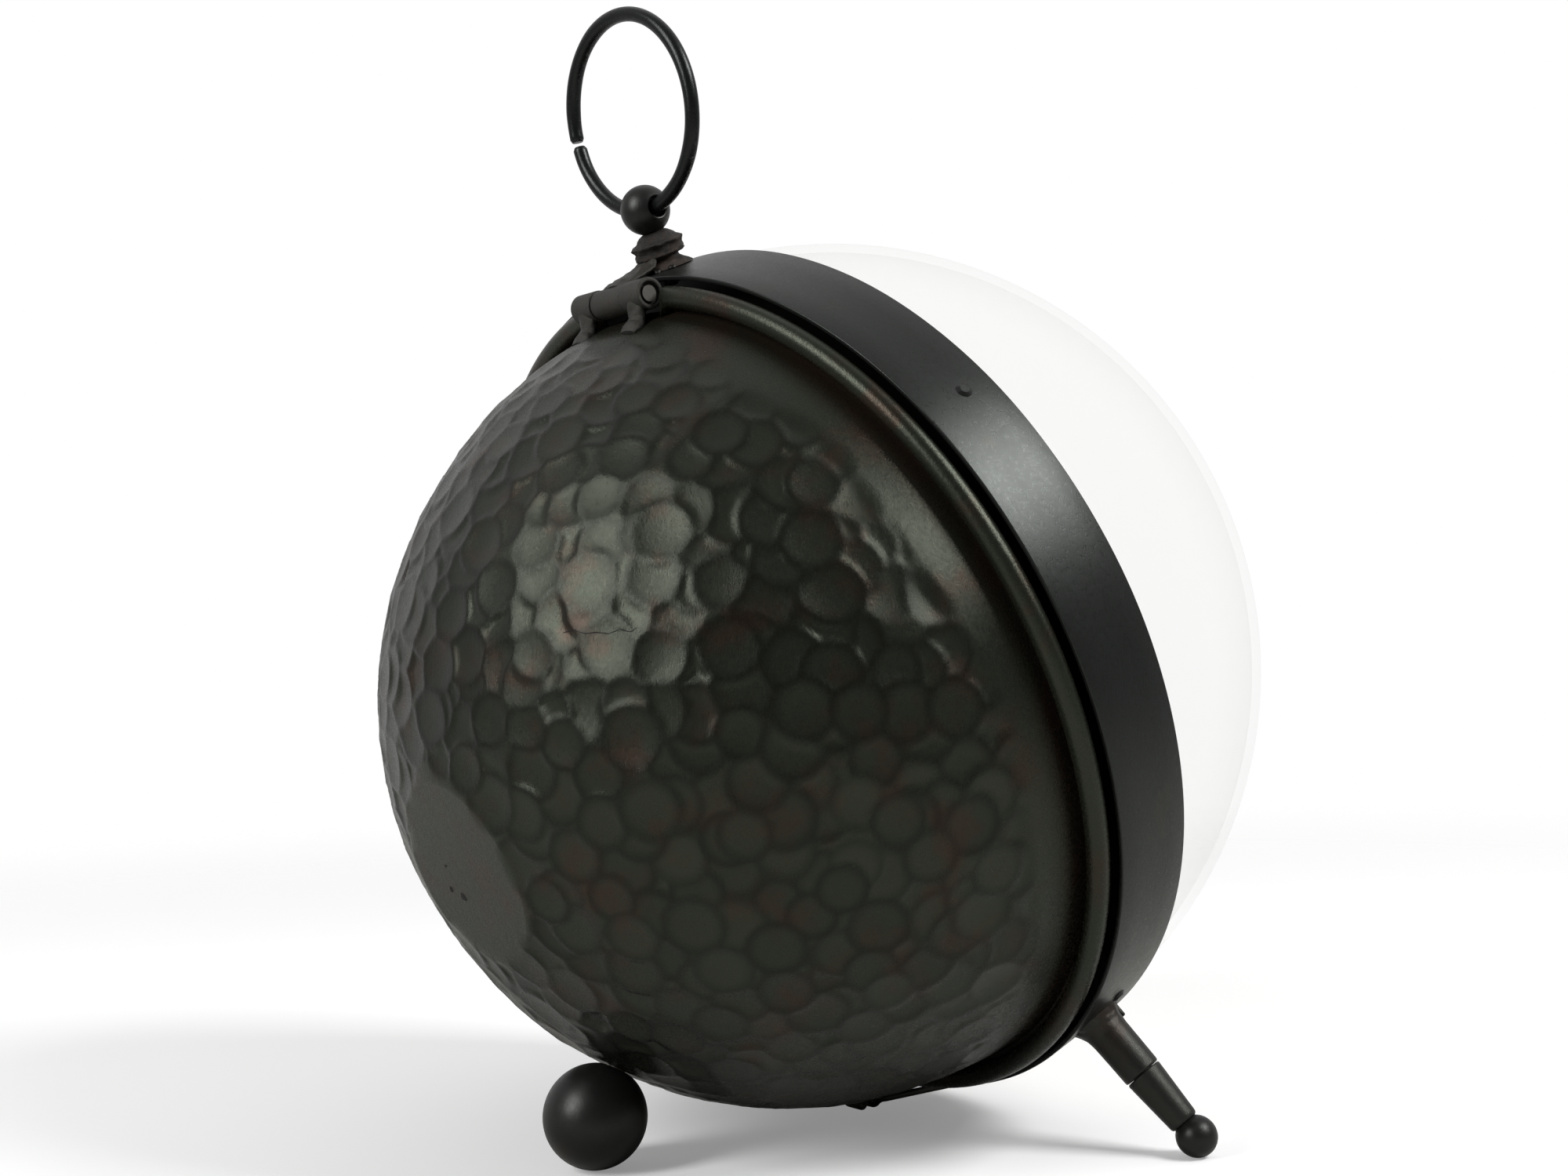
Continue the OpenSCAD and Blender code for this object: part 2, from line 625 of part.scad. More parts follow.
band();
glass_dome();
dome_gasket();
dial_plate();
dial_clips();
clip_rivets();
movement_case();
movement_cover();
battery();
shaft_bush();
bush_washer();
bush_nut();
hour_tube();
hour_hand();
minute_arbor();
minute_hand();
hand_cap();
set_knob();
knob_stem();
crown_collar();
crown_stud();
crown_nut();
crown_ball();
bow_ring();
leg_socket_left();
leg_socket_right();
leg_left();
leg_right();
leg_ball_left();
leg_ball_right();
hinge_barrel();
hinge_lugs();
hinge_pin();
back_bowl();
foot_ball();
foot_stud();
foot_washer();
foot_nut();
latch_base();
latch_pin();
latch_lever();
latch_loop();
latch_keeper();
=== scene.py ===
import json
import math

import bpy
import numpy as np
from mathutils import Matrix, Vector


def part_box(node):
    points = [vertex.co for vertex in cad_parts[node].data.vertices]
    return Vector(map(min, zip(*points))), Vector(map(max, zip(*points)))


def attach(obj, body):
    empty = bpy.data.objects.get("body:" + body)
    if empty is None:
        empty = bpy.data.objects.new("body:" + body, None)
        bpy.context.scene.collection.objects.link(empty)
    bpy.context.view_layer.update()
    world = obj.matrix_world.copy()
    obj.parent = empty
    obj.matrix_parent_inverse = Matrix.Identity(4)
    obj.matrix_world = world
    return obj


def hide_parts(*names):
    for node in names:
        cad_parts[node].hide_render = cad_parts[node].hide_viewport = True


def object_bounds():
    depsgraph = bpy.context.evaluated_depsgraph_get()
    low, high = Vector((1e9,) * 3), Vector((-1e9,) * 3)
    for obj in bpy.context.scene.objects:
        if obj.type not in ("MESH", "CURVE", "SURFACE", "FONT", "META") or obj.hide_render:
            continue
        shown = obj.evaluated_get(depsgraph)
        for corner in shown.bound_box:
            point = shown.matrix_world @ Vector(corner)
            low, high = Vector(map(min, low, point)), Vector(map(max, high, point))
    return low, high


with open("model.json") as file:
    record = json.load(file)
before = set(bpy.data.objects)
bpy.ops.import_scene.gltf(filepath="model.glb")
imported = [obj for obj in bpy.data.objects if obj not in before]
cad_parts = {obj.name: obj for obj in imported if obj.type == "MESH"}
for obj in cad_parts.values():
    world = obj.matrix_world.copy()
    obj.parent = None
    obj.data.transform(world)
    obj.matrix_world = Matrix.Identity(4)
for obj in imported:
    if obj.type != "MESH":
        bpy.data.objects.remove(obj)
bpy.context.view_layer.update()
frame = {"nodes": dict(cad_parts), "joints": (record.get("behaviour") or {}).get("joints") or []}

# ---- Where the case stands ----
# The case is a drum that leans back. Its axis and its dial's centre come from the minute hand's
# joint, and its own centre is the middle of the back bowl's sphere, 4 mm inside the band's rear edge.
MM = 0.001
joints = {j["name"]: j for j in frame["joints"]}


def unit(v):
    """A vector, or an array of them, made one long."""
    v = np.asarray(v, float)
    return v / np.linalg.norm(v, axis=-1, keepdims=True)


OUT = -unit(joints["minute_turn"]["axis"])
AXES = np.stack([[1.0, 0.0, 0.0], np.cross(OUT, [1.0, 0.0, 0.0]), OUT])
CENTRE = np.array(joints["minute_turn"]["pos_m"], float)


def local(points):
    """World points in metres as the case's own millimetres: across, up the face, out of the face."""
    return (np.asarray(points, float) - CENTRE) @ AXES.T / MM


def case(points):
    """The case's own millimetres as world points in metres."""
    return CENTRE + np.asarray(points, float) @ AXES * MM


def extent(node):
    """The lowest and highest of a CAD node's corners in the case's own millimetres."""
    mesh = frame["nodes"][node].data
    flat = np.zeros(len(mesh.vertices) * 3)
    mesh.vertices.foreach_get("co", flat)
    points = local(flat.reshape(-1, 3))
    return points.min(0), points.max(0)


CENTRE = case([0, 0, extent("band")[0][2] + 4])

# ---- Studio: camera, lights, floor ----
# A pale paper sweep, a tall soft box to the left of the camera and a wide one above and to the
# right, with the camera low behind the clock.
def linear(hex_colour):
    """An sRGB hex colour as linear red, green, blue and alpha."""
    srgb = [int(hex_colour[i:i + 2], 16) / 255 for i in (1, 3, 5)]
    return [c / 12.92 if c <= 0.04045 else ((c + 0.055) / 1.055) ** 2.4 for c in srgb] + [1.0]


def add(tree, kind, links=None, **settings):
    """Adds a shader node; settings are its sockets (an underscore for a space) or its properties,
    and links maps a socket's name or number to the output that feeds it."""
    made = tree.nodes.new(kind)
    for name, value in settings.items():
        if hasattr(made, name):
            setattr(made, name, value)
        else:
            made.inputs[name.replace("_", " ")].default_value = value
    for socket, output in (links or {}).items():
        tree.links.new(output, made.inputs[socket])
    return made


def new_material(name):
    """A material with an empty node tree."""
    made = bpy.data.materials.new(name)
    made.use_nodes = True
    made.node_tree.nodes.clear()
    return made, made.node_tree


def look(position, forward, up):
    """A matrix that stands at a position, looks along forward and keeps up upwards."""
    forward = Vector(forward).normalized()
    right = forward.cross(Vector(up)).normalized()
    turn = Matrix((right, right.cross(forward), -forward)).transposed()
    return Matrix.Translation(Vector(position)) @ turn.to_4x4()


lens = bpy.data.cameras.new("camera")
lens.sensor_width = 36
lens.lens = 46.73
lens.clip_start = 0.01
lens.clip_end = 50
camera = bpy.data.objects.new("camera", lens)
camera.matrix_world = look(CENTRE + np.array([-566.6, 431.7, 21.2]) * MM, (0.7952, -0.6060, 0.0220),
                           (-0.0323, -0.0061, 0.9995))
bpy.context.scene.collection.objects.link(camera)
bpy.context.scene.camera = camera
bpy.context.scene.view_settings.view_transform = "Standard"


def soft_box(name, toward, size, watts):
    """A rectangular area light, placed in metres from the clock along the camera's right, up and
    back, and aimed at the clock."""
    light = bpy.data.lights.new(name, "AREA")
    light.shape = "RECTANGLE"
    light.size, light.size_y = size
    light.energy = watts
    lamp = bpy.data.objects.new(name, light)
    place = Vector(CENTRE) + camera.matrix_world.to_3x3() @ Vector(toward)
    lamp.matrix_world = look(place, Vector(CENTRE) - place, (0, 0, 1))
    bpy.context.scene.collection.objects.link(lamp)


soft_box("left_box", (-1.25, 0.75, 0.85), (0.5, 0.95), 22)
soft_box("right_box", (1.17, 1.22, 0.55), (0.75, 0.55), 28)
soft_box("top_box", (0.2, 2.2, -0.9), (2.4, 2.0), 3)

world = bpy.data.worlds.new("studio")
bpy.context.scene.world = world
world.use_nodes = True
tree = world.node_tree
tree.nodes.clear()
seen = add(tree, "ShaderNodeLightPath")
toward = add(tree, "ShaderNodeTexCoord")
ahead = add(tree, "ShaderNodeVectorMath", {0: toward.outputs["Generated"]}, operation="DOT_PRODUCT")
ahead.inputs[1].default_value = (0.7952, -0.6060, 0.25)
# The paper behind the clock is bright; the room behind the camera is dim
dim = add(tree, "ShaderNodeMapRange", {"Value": ahead.outputs["Value"]}, interpolation_type="SMOOTHSTEP",
          From_Min=-0.7, From_Max=0.7, To_Min=0.12, To_Max=0.62)
room = add(tree, "ShaderNodeBackground", {"Strength": dim.outputs[0]}, Color=linear("#F4F4F4"))
sweep = add(tree, "ShaderNodeBackground", Color=linear("#FFFFFF"), Strength=1.0)
both = add(tree, "ShaderNodeMixShader", {0: seen.outputs["Is Camera Ray"], 1: room.outputs[0],
                                         2: sweep.outputs[0]})
add(tree, "ShaderNodeOutputWorld", {"Surface": both.outputs[0]})

turn = np.linspace(0, 2 * np.pi, 97)[:-1]
rim = np.stack([3 * np.cos(turn), 3 * np.sin(turn), np.full(96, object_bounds()[0].z)], 1)
floor_mesh = bpy.data.meshes.new("floor")
floor_mesh.from_pydata(rim.tolist(), [], [list(range(96))])
floor = bpy.data.objects.new("floor", floor_mesh)
bpy.context.scene.collection.objects.link(floor)
# Paper that shows the soft shadows near the clock, lifted by a painted glow, and thins out into the pale
# room
paper, tree = new_material("studio paper")
place = add(tree, "ShaderNodeTexCoord")
away = add(tree, "ShaderNodeVectorMath", {0: place.outputs["Object"]}, operation="LENGTH")
fade = add(tree, "ShaderNodeMapRange", {"Value": away.outputs["Value"]}, interpolation_type="SMOOTHSTEP",
           From_Min=0.35, From_Max=1.3)
sheet = add(tree, "ShaderNodeBsdfDiffuse", Color=linear("#E0E0E0"))
# Painted light: an even glow that lightens the paper's shadows where the camera sees it
painted_fill_glow = add(tree, "ShaderNodeEmission", Color=linear("#FFFFFF"), Strength=0.24)
paper_with_painted_glow = add(tree, "ShaderNodeAddShader", {0: sheet.outputs[0], 1: painted_fill_glow.outputs[0]})
# Seen in the iron, the paper is dimmer than it looks directly: painted shade on the copy that the iron
# reflects
dull = add(tree, "ShaderNodeBsdfDiffuse", Color=linear("#C2C2BE"))
seen = add(tree, "ShaderNodeLightPath")
shown = add(tree, "ShaderNodeMixShader", {0: seen.outputs["Is Camera Ray"], 1: dull.outputs[0],
                                          2: paper_with_painted_glow.outputs[0]})
gone = add(tree, "ShaderNodeBsdfTransparent")
mixed = add(tree, "ShaderNodeMixShader", {0: fade.outputs[0], 1: shown.outputs[0], 2: gone.outputs[0]})
add(tree, "ShaderNodeOutputMaterial", {"Surface": mixed.outputs[0]})
floor_mesh.materials.append(paper)

# ---- Hammered back ----
# A bowl of 1.5 mm iron sheet, raised and planished by hand: overlapping hammer marks over all but
# a smooth flat disc at the pole and a smooth margin, then a groove and a bead rolled at the rim.
# The bead stops either side of the hinge.
def smooth_step(low, high, value):
    """0 below low, 1 above high, and an even S between them."""
    t = np.clip((value - low) / (high - low), 0, 1)
    return t * t * (3 - 2 * t)


def lumps(points, size, seed):
    """Smooth irregularity, mostly between -1 and 1: nine sine waves that run in random directions
    with wavelengths near size in mm, added up."""
    draw = np.random.default_rng(seed)
    total = 0
    for way in unit(draw.normal(size=(9, 3))):
        wave = 2 * np.pi / (size * draw.uniform(0.7, 1.5))
        total = total + np.sin(points @ way * wave + draw.uniform(0, 2 * np.pi))
    return total / 3


def arc(centre, radius, start, end, count):
    """Points of a profile on a circular arc, with start and end in degrees."""
    a = np.radians(np.linspace(start, end, count))
    return np.stack([centre[0] + radius * np.cos(a), centre[1] + radius * np.sin(a)], 1)


def filled(points, count):
    """A path or profile with count points spread evenly along the straight lines between its own."""
    points = np.asarray(points, float)
    at = np.linspace(0, len(points) - 1, count)
    return np.stack([np.interp(at, np.arange(len(points)), column) for column in points.T], 1)


def spun(profile, base, axis, columns=64):
    """A surface of revolution: each row is a circle of the profile's radius about an axis, at the
    profile's distance along it from base."""
    axis = unit(axis)
    side = unit(np.cross(axis, [0.13, 0.97, 0.2]))
    around = np.linspace(0, 2 * np.pi, columns + 1)[None, :, None]
    circle = np.cos(around) * side + np.sin(around) * np.cross(axis, side)
    profile = np.asarray(profile, float)
    return np.asarray(base, float) + profile[:, 1, None, None] * axis + profile[:, 0, None, None] * circle


def piece(name, grids, material, body, stands_for=(), crease=35, fields=None):
    """One object from closed grids of points in the case's millimetres: neighbours make quads,
    points that fall together at a seam or a pole become one, and faces are turned outwards by the
    sign of the volume they hold. Fields are values to keep at the points, for the material."""
    corners, quads, start = [], [], 0
    for grid in grids:
        rows, columns = grid.shape[:2]
        index = start + np.arange(rows * columns).reshape(rows, columns)
        quad = np.stack([index[:-1, :-1], index[1:, :-1], index[1:, 1:], index[:-1, 1:]], -1).reshape(-1, 4)
        points = grid.reshape(-1, 3)
        p, q, r, s = (points[quad[:, k] - start] - points.mean(0) for k in range(4))
        if (p * np.cross(q, r)).sum() + (p * np.cross(r, s)).sum() < 0:
            quad = quad[:, ::-1]
        corners.append(points)
        quads.append(quad)
        start += rows * columns
    corners, quads = np.concatenate(corners), np.concatenate(quads)
    keys = np.round(corners * 1e4).astype(np.int64)
    _, first, same = np.unique(keys, axis=0, return_index=True, return_inverse=True)
    quads = same.reshape(-1)[quads]
    faces = [[v for k, v in enumerate(quad) if v != quad[k - 1]] for quad in quads.tolist()]
    faces = [f for f in faces if len(f) > 2 and len(set(f)) == len(f)]
    mesh = bpy.data.meshes.new(name)
    mesh.from_pydata(case(corners[first]).tolist(), [], faces)
    mesh.update()
    mesh.polygons.foreach_set("use_smooth", np.ones(len(mesh.polygons), bool))
    mesh.set_sharp_from_angle(angle=math.radians(crease))
    for label, values in (fields or {}).items():
        stored = mesh.attributes.new(label, "FLOAT", "POINT")
        stored.data.foreach_set("value", values.reshape(-1)[first].astype(np.float32))
    mesh.materials.append(material)
    made = bpy.data.objects.new(name, mesh)
    bpy.context.scene.collection.objects.link(made)
    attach(made, body)
    if stands_for:
        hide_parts(*stands_for)
    return made


def blackened_iron(name, colour, brown, rust, rough, bump, brush=0.9, brown_from=0.55, metal=0.7,
                   marks=False):
    """Iron heated and oiled until it is black: a satin shine, browner where the oxide is thin, a few
    rust specks, fine scratches from brushing, and pores. With marks, each hammer mark has its own
    tone and painted shade that darkens its edge, so that the dish shows."""
    made, tree = new_material(name)
    place = add(tree, "ShaderNodeTexCoord")
    where = add(tree, "ShaderNodeVectorMath", {0: place.outputs["Object"]}, operation="SCALE", Scale=1000.0)
    cloud = add(tree, "ShaderNodeTexNoise", {"Vector": where.outputs[0]}, Scale=0.045, Detail=6.0,
                Roughness=0.65)
    patch = add(tree, "ShaderNodeMapRange", {"Value": cloud.outputs["Fac"]}, From_Min=brown_from,
                From_Max=brown_from + 0.16)
    grain = add(tree, "ShaderNodeTexNoise", {"Vector": where.outputs[0]}, Scale=0.55, Detail=6.0,
                Roughness=0.7)
    specks = add(tree, "ShaderNodeMapRange", {"Value": grain.outputs["Fac"]}, From_Min=0.68, From_Max=0.76)
    strokes = add(tree, "ShaderNodeMapping", {"Vector": where.outputs[0]}, Rotation=(0.5, 0.75, 0.3),
                  Scale=(2.6, 2.6, 0.09))
    brushed = add(tree, "ShaderNodeTexNoise", {"Vector": strokes.outputs[0]}, Scale=1.0, Detail=5.0,
                  Roughness=0.75)
    stain = patch.outputs[0]
    if marks:
        seam = add(tree, "ShaderNodeAttribute", attribute_name="seam_rust")
        gathered = add(tree, "ShaderNodeMath", {0: stain, 1: seam.outputs["Fac"]}, operation="MAXIMUM")
        stain = gathered.outputs[0]
    tint = add(tree, "ShaderNodeMix", {0: stain}, data_type="RGBA")
    tint.inputs[6].default_value, tint.inputs[7].default_value = linear(colour), linear(brown)
    spotted = add(tree, "ShaderNodeMix", {0: specks.outputs[0], 6: tint.outputs[2]}, data_type="RGBA")
    spotted.inputs[7].default_value = linear(rust)
    skin = spotted.outputs[2]
    # Brushing and grain both break up the shine
    worn = add(tree, "ShaderNodeMath", {0: brushed.outputs["Fac"], 2: grain.outputs["Fac"]},
               operation="MULTIPLY_ADD")
    worn.inputs[1].default_value = brush
    gloss = add(tree, "ShaderNodeMapRange", {"Value": worn.outputs[0]}, From_Min=0.55, From_Max=1.25,
                To_Min=rough[0], To_Max=rough[1])
    shine = gloss.outputs[0]
    if marks:
        # Painted shade: the colour darkens towards the edge of every hammer mark
        edge = add(tree, "ShaderNodeAttribute", attribute_name="mark_edge_shade")
        tone = add(tree, "ShaderNodeAttribute", attribute_name="mark_tone")
        shade = add(tree, "ShaderNodeMath", {0: tone.outputs["Fac"], 2: edge.outputs["Fac"]},
                    operation="MULTIPLY_ADD")
        shade.inputs[1].default_value = 0.5
        lift = add(tree, "ShaderNodeMapRange", {"Value": shade.outputs[0]}, From_Max=1.5, To_Min=0.42,
                   To_Max=1.18)
        toned = add(tree, "ShaderNodeVectorMath", {0: skin, "Scale": lift.outputs[0]}, operation="SCALE")
        skin = toned.outputs[0]
        dull = add(tree, "ShaderNodeMath", {0: tone.outputs["Fac"], 2: shine}, operation="MULTIPLY_ADD")
        dull.inputs[1].default_value = -0.09
        shine = dull.outputs[0]
    rise = add(tree, "ShaderNodeBump", {"Height": worn.outputs[0]}, Strength=bump, Distance=0.0006)
    metal_skin = add(tree, "ShaderNodeBsdfPrincipled", {"Base Color": skin, "Roughness": shine,
                                                        "Normal": rise.outputs[0]}, Metallic=metal,
                     Specular_IOR_Level=0.35)
    add(tree, "ShaderNodeOutputMaterial", {"Surface": metal_skin.outputs[0]})
    return made


BOWL_R = 141.0
BOWL_WALL = 1.5
DISC_R = 31.5
BEAD_R = 3.6
BAND_WALL = 1.5
BOWL_COLUMNS, DISC_ROWS, WALL_ROWS, BEAD_ROWS, INNER_ROWS = 560, 16, 150, 22, 20
band_low, band_high = extent("band")
BAND_R, BAND_IN = band_high[0], band_high[0] - BAND_WALL
bead_ring, bead_s = BAND_IN - 0.7 - BEAD_R, band_low[2] - 0.9 - BEAD_R
hinge = local(joints["back_hinge"]["pos_m"])
hinge_half = extent("hinge_lugs")[1][0] + 1

pole = math.degrees(math.asin(DISC_R / BOWL_R))
last = math.degrees(math.acos(-(bead_s - 1.2) / BOWL_R))
disc_s = -math.sqrt(BOWL_R ** 2 - DISC_R ** 2)
inner_r, rim_s = BOWL_R - BOWL_WALL, bead_s + BEAD_R
outer_disc = filled([(0, disc_s + 0.02), (DISC_R - 0.8, disc_s + 0.02)], DISC_ROWS)
outer_wall = arc((0, 0), BOWL_R, -90 + pole, -90 + last, WALL_ROWS)
groove = [(BOWL_R + 0.1, bead_s + 1.4), (BOWL_R + 0.8, bead_s + 1.8)]
bead = arc((bead_ring, bead_s), BEAD_R, 160, 450, BEAD_ROWS)
lip = [(inner_r + 0.6, rim_s), (inner_r, rim_s - 0.6)]
inner_start = math.degrees(math.asin((rim_s - 2) / inner_r))
inner_wall = arc((0, 0), inner_r, inner_start, -90 + pole, INNER_ROWS)
inner_disc = [(0.0, disc_s + BOWL_WALL)]
profile = np.concatenate([outer_disc, outer_wall, groove, bead, lip, inner_wall, inner_disc])
bowl = spun(profile, (0, 0, 0), (0, 0, 1), BOWL_COLUMNS)
row = np.arange(len(profile))[:, None] + np.zeros(bowl.shape[1])
OUTER_ROWS = DISC_ROWS + WALL_ROWS
hammered_rows = slice(0, OUTER_ROWS)


def hammer_marks(points, count=640, seed=7):
    """Depth in mm of hammer marks at points on the bowl, with each point's closeness to the edge
    of its mark (0 at the edge) and a tone for the mark. Marks sit on a jittered golden-angle
    spiral and are struck in random order; each presses its own shallow round dish over the ones
    before it, so the last ones struck show whole."""
    draw = np.random.default_rng(seed)
    k = draw.permutation(count) + 0.5
    near, far = math.cos(math.radians(pole + 1.5)), math.cos(math.radians(last - 7))
    lift = np.clip(near + (far - near) * k / count + draw.normal(0, 0.010, count), far, near)
    angle = k * math.pi * (3 - math.sqrt(5)) + draw.normal(0, 0.03, count)
    flat = np.sqrt(1 - lift ** 2)
    seat = np.stack([flat * np.sin(angle), flat * np.cos(angle), -lift], 1)
    width = draw.uniform(8.2, 10.6, count)
    depth = draw.uniform(0.65, 1.1, count) * (width / 9.2) ** 2
    sunk = draw.uniform(0.0, 0.1, count)
    colour = draw.uniform(0, 1, count)
    way = unit(points).reshape(-1, 3)
    total, edge, tone = np.zeros(len(way)), np.ones(len(way)), np.full(len(way), 0.5)
    for i in range(count):
        close = np.flatnonzero(way @ seat[i] > math.cos(width[i] * 1.1 / BOWL_R))
        r = np.linalg.norm(way[close] - seat[i], axis=1) * BOWL_R / width[i]
        dish = sunk[i] + depth[i] * (1 - np.minimum(r, 1) ** 2)
        inside = 1 - smooth_step(0.84, 1.1, r)
        total[close] += (dish - total[close]) * inside
        edge[close] += (smooth_step(0.0, 0.5, 1 - r) - edge[close]) * inside
        tone[close] += (colour[i] - tone[close]) * inside
    return tuple(a.reshape(points.shape[:2]) for a in (total, edge, tone))


def from_pole(points):
    """The angle in degrees between points and the bowl's pole."""
    return np.degrees(np.arccos(np.clip(-unit(points)[..., 2], -1, 1)))


def sagging(points):
    """Depth in mm of the sheet's slow waves, the same inside and outside: 0.35 (1 + n), where n is
    smooth noise 90 mm across, faded out at the flat disc and at the rim."""
    polar = from_pole(points)
    inside = smooth_step(pole, pole + 6, polar) * (1 - smooth_step(last - 6, last - 1, polar))
    return 0.35 * (1 + lumps(points, 90, 5)).clip(0, 2) * inside


depth, edge, tone = hammer_marks(bowl[hammered_rows])
polar = from_pole(bowl[hammered_rows])
margin = polar + 1.6 * lumps(bowl[hammered_rows], 60, 3)
struck = smooth_step(pole - 1.5, pole + 1.0, polar) * (1 - smooth_step(last - 8.5, last - 5.5, margin))
edge, tone = 1 - (1 - edge) * struck, 0.5 + (tone - 0.5) * struck
bowl[hammered_rows] *= (1 - (depth * struck + sagging(bowl[hammered_rows])) / BOWL_R)[..., None]
inner_rows = slice(len(profile) - 1 - INNER_ROWS, len(profile) - 1)
bowl[inner_rows] *= (1 - sagging(bowl[inner_rows]) / BOWL_R)[..., None]
# Near the hinge the bead and its flange are cut back to the bowl's own radius
rim_end = OUTER_ROWS + len(groove) + BEAD_ROWS
cut = (row >= OUTER_ROWS) & (row <= rim_end) & (bowl[..., 1] > 0)
cut = cut * (1 - smooth_step(hinge_half, hinge_half + 1.5, np.abs(bowl[..., 0])))
out = np.linalg.norm(bowl[..., :2], axis=-1)
bowl[..., :2] *= (1 - cut * (1 - np.minimum(1, (BOWL_R - 0.4) / np.maximum(out, 1))))[..., None]
pad = ((0, len(profile) - OUTER_ROWS), (0, 0))
seam = np.exp(-((row - OUTER_ROWS + 1) / 5.0) ** 2) * (0.75 + 0.3 * lumps(bowl, 25, 9)).clip(0, 1)
# The edge values become painted shade on the rim of every mark
fields = {"mark_edge_shade": np.pad(edge, pad, constant_values=1),
          "mark_tone": np.pad(tone, pad, constant_values=0.5),
          "seam_rust": seam}
# Greenish black satin in which every mark catches the light by itself and has painted shade along its edge,
# browner in the rim groove
hammered = blackened_iron("hammered blackened iron", "#2D3028", "#362C24", "#433429", (0.22, 0.39), 0.2,
                          brown_from=0.51, marks=True)
piece("hammered_back", [bowl], hammered, "back", ("back_bowl",), crease=70, fields=fields)


# ---- Crack and rust chips ----
# A hairline crack in the sheet where it was worked thin, and three small chips in the black of the
# flat disc. Both are damage to the bowl and move with it.
def on_bowl(directions):
    """Points on the hammered surface, in given directions from the bowl's centre."""
    way = unit(directions)[None]
    deep, _, _ = hammer_marks(way)
    return (way * (BOWL_R - deep - sagging(way * BOWL_R))[..., None])[0]


def tube(path, radii, columns=24, reference=(0, 0, 1), section=None):
    """A rod: around each point of a path, an ellipse, or a given closed section one unit in half
    width, whose two half widths lie square to a reference direction and along it. The first and
    last rows close to a point."""
    path = np.asarray(path, float)
    radii = np.broadcast_to(np.asarray(radii, float).reshape(len(radii), -1), (len(path), 2))
    along = unit(np.gradient(path, axis=0))
    side = unit(np.cross(along, np.asarray(reference, float)))
    other = np.cross(side, along)
    around = np.linspace(0, 2 * np.pi, columns + 1)
    section = np.stack([np.cos(around), np.sin(around)], 1) if section is None else np.asarray(section)
    rows = path[:, None] + section[None, :, :1] * side[:, None] * radii[:, 0, None, None]
    rows = rows + section[None, :, 1:] * other[:, None] * radii[:, 1, None, None]
    ends = [np.broadcast_to(path[k], (1, len(section), 3)) for k in (0, -1)]
    return np.concatenate([ends[0], rows, ends[1]])


# Rough and nearly black: painted shade for the shadowed inside of the crack and the chips, so that they read
# as gaps
gap_shade_paint, tree = new_material("painted shade in the gaps of the sheet")
painted_gap_shade = add(tree, "ShaderNodeBsdfPrincipled", Base_Color=linear("#0C0A08"), Roughness=0.9)
add(tree, "ShaderNodeOutputMaterial", {"Surface": painted_gap_shade.outputs[0]})
bends = np.array([(-0.4145, 0.4873, -0.7685), (-0.4381, 0.4867, -0.7557), (-0.4644, 0.4742, -0.748),
                  (-0.4881, 0.4716, -0.7344), (-0.5118, 0.4631, -0.7236), (-0.5331, 0.4658, -0.7063),
                  (-0.5529, 0.455, -0.6981), (-0.5644, 0.4598, -0.6856)])
fine = np.linspace(0, len(bends) - 1, 60)
line = on_bowl(filled(bends, 60))
thin = 0.16 + 0.07 * np.sin(fine * 5) * np.cos(fine * 2.3)
crack = tube(line, np.stack([thin, thin * 0.6], 1), 8, unit(line.mean(0)))
piece("hairline_crack", [crack], gap_shade_paint, "back")
chips = []
for middle, size in (((14.0, -6.6), 1.1), ((7.5, -8.6), 1.5), ((11.2, 1.8), 0.5)):
    blob = spun([(0, -0.25), (size * 0.7, -0.2), (size, -0.05), (size * 0.8, 0.12), (0, 0.16)],
                (middle[0], middle[1], disc_s), (0, 0, -1), 18)
    blob[..., :2] += (0.22 * size * lumps(blob, 2.2, 61))[..., None]
    chips.append(blob)
piece("rust_chips", chips, gap_shade_paint, "back", crease=60)

# ---- Case band ----
# A hoop of 30 x 1.5 mm iron strip with its front edge turned in to hold the dome, slightly uneven
# from bending. Four clip rivets come through it.
def softened(corners, radius, count=4):
    """A closed profile through corners, each rounded by a quadratic curve; first point repeated."""
    corners = np.asarray(corners, float)
    t = np.linspace(0, 1, count)[:, None]
    out = []
    for k, corner in enumerate(corners):
        before, after = corners[k - 1] - corner, corners[(k + 1) % len(corners)] - corner
        a, b = (corner + unit(v) * min(radius, 0.45 * np.linalg.norm(v)) for v in (before, after))
        out.append((1 - t) ** 2 * a + 2 * t * (1 - t) * corner + t ** 2 * b)
    out = np.concatenate(out)
    return np.concatenate([out, out[:1]])


back_s, front_s = band_low[2], band_high[2]
strip = softened([(BAND_R, back_s), (BAND_R, back_s + 10), (BAND_R, front_s - 9), (BAND_R, front_s),
                  (BAND_IN - 1.2, front_s), (BAND_IN - 1.2, front_s - 1.5), (BAND_IN, front_s - 1.5),
                  (BAND_IN, back_s)], 0.4)
hoop = spun(strip, (0, 0, 0), (0, 0, 1), 288)
hoop[..., :2] *= (1 - 0.0006 * (1 + lumps(hoop, 70, 8)).clip(0, 2))[..., None]
# Smoother and more even than the bowl, so that it shows one long soft highlight
band_iron = blackened_iron("blackened iron strip", "#2B2D2B", "#302E2A", "#4A4640", (0.22, 0.36), 0.12,
                           brown_from=0.6)
piece("case_band", [hoop], band_iron, "case", ("band",), crease=50)


def plain(node, material):
    """Gives a CAD node that keeps its own shape a material."""
    mesh = frame["nodes"][node].data
    mesh.materials.clear()
    mesh.materials.append(material)


plain("clip_rivets", band_iron)

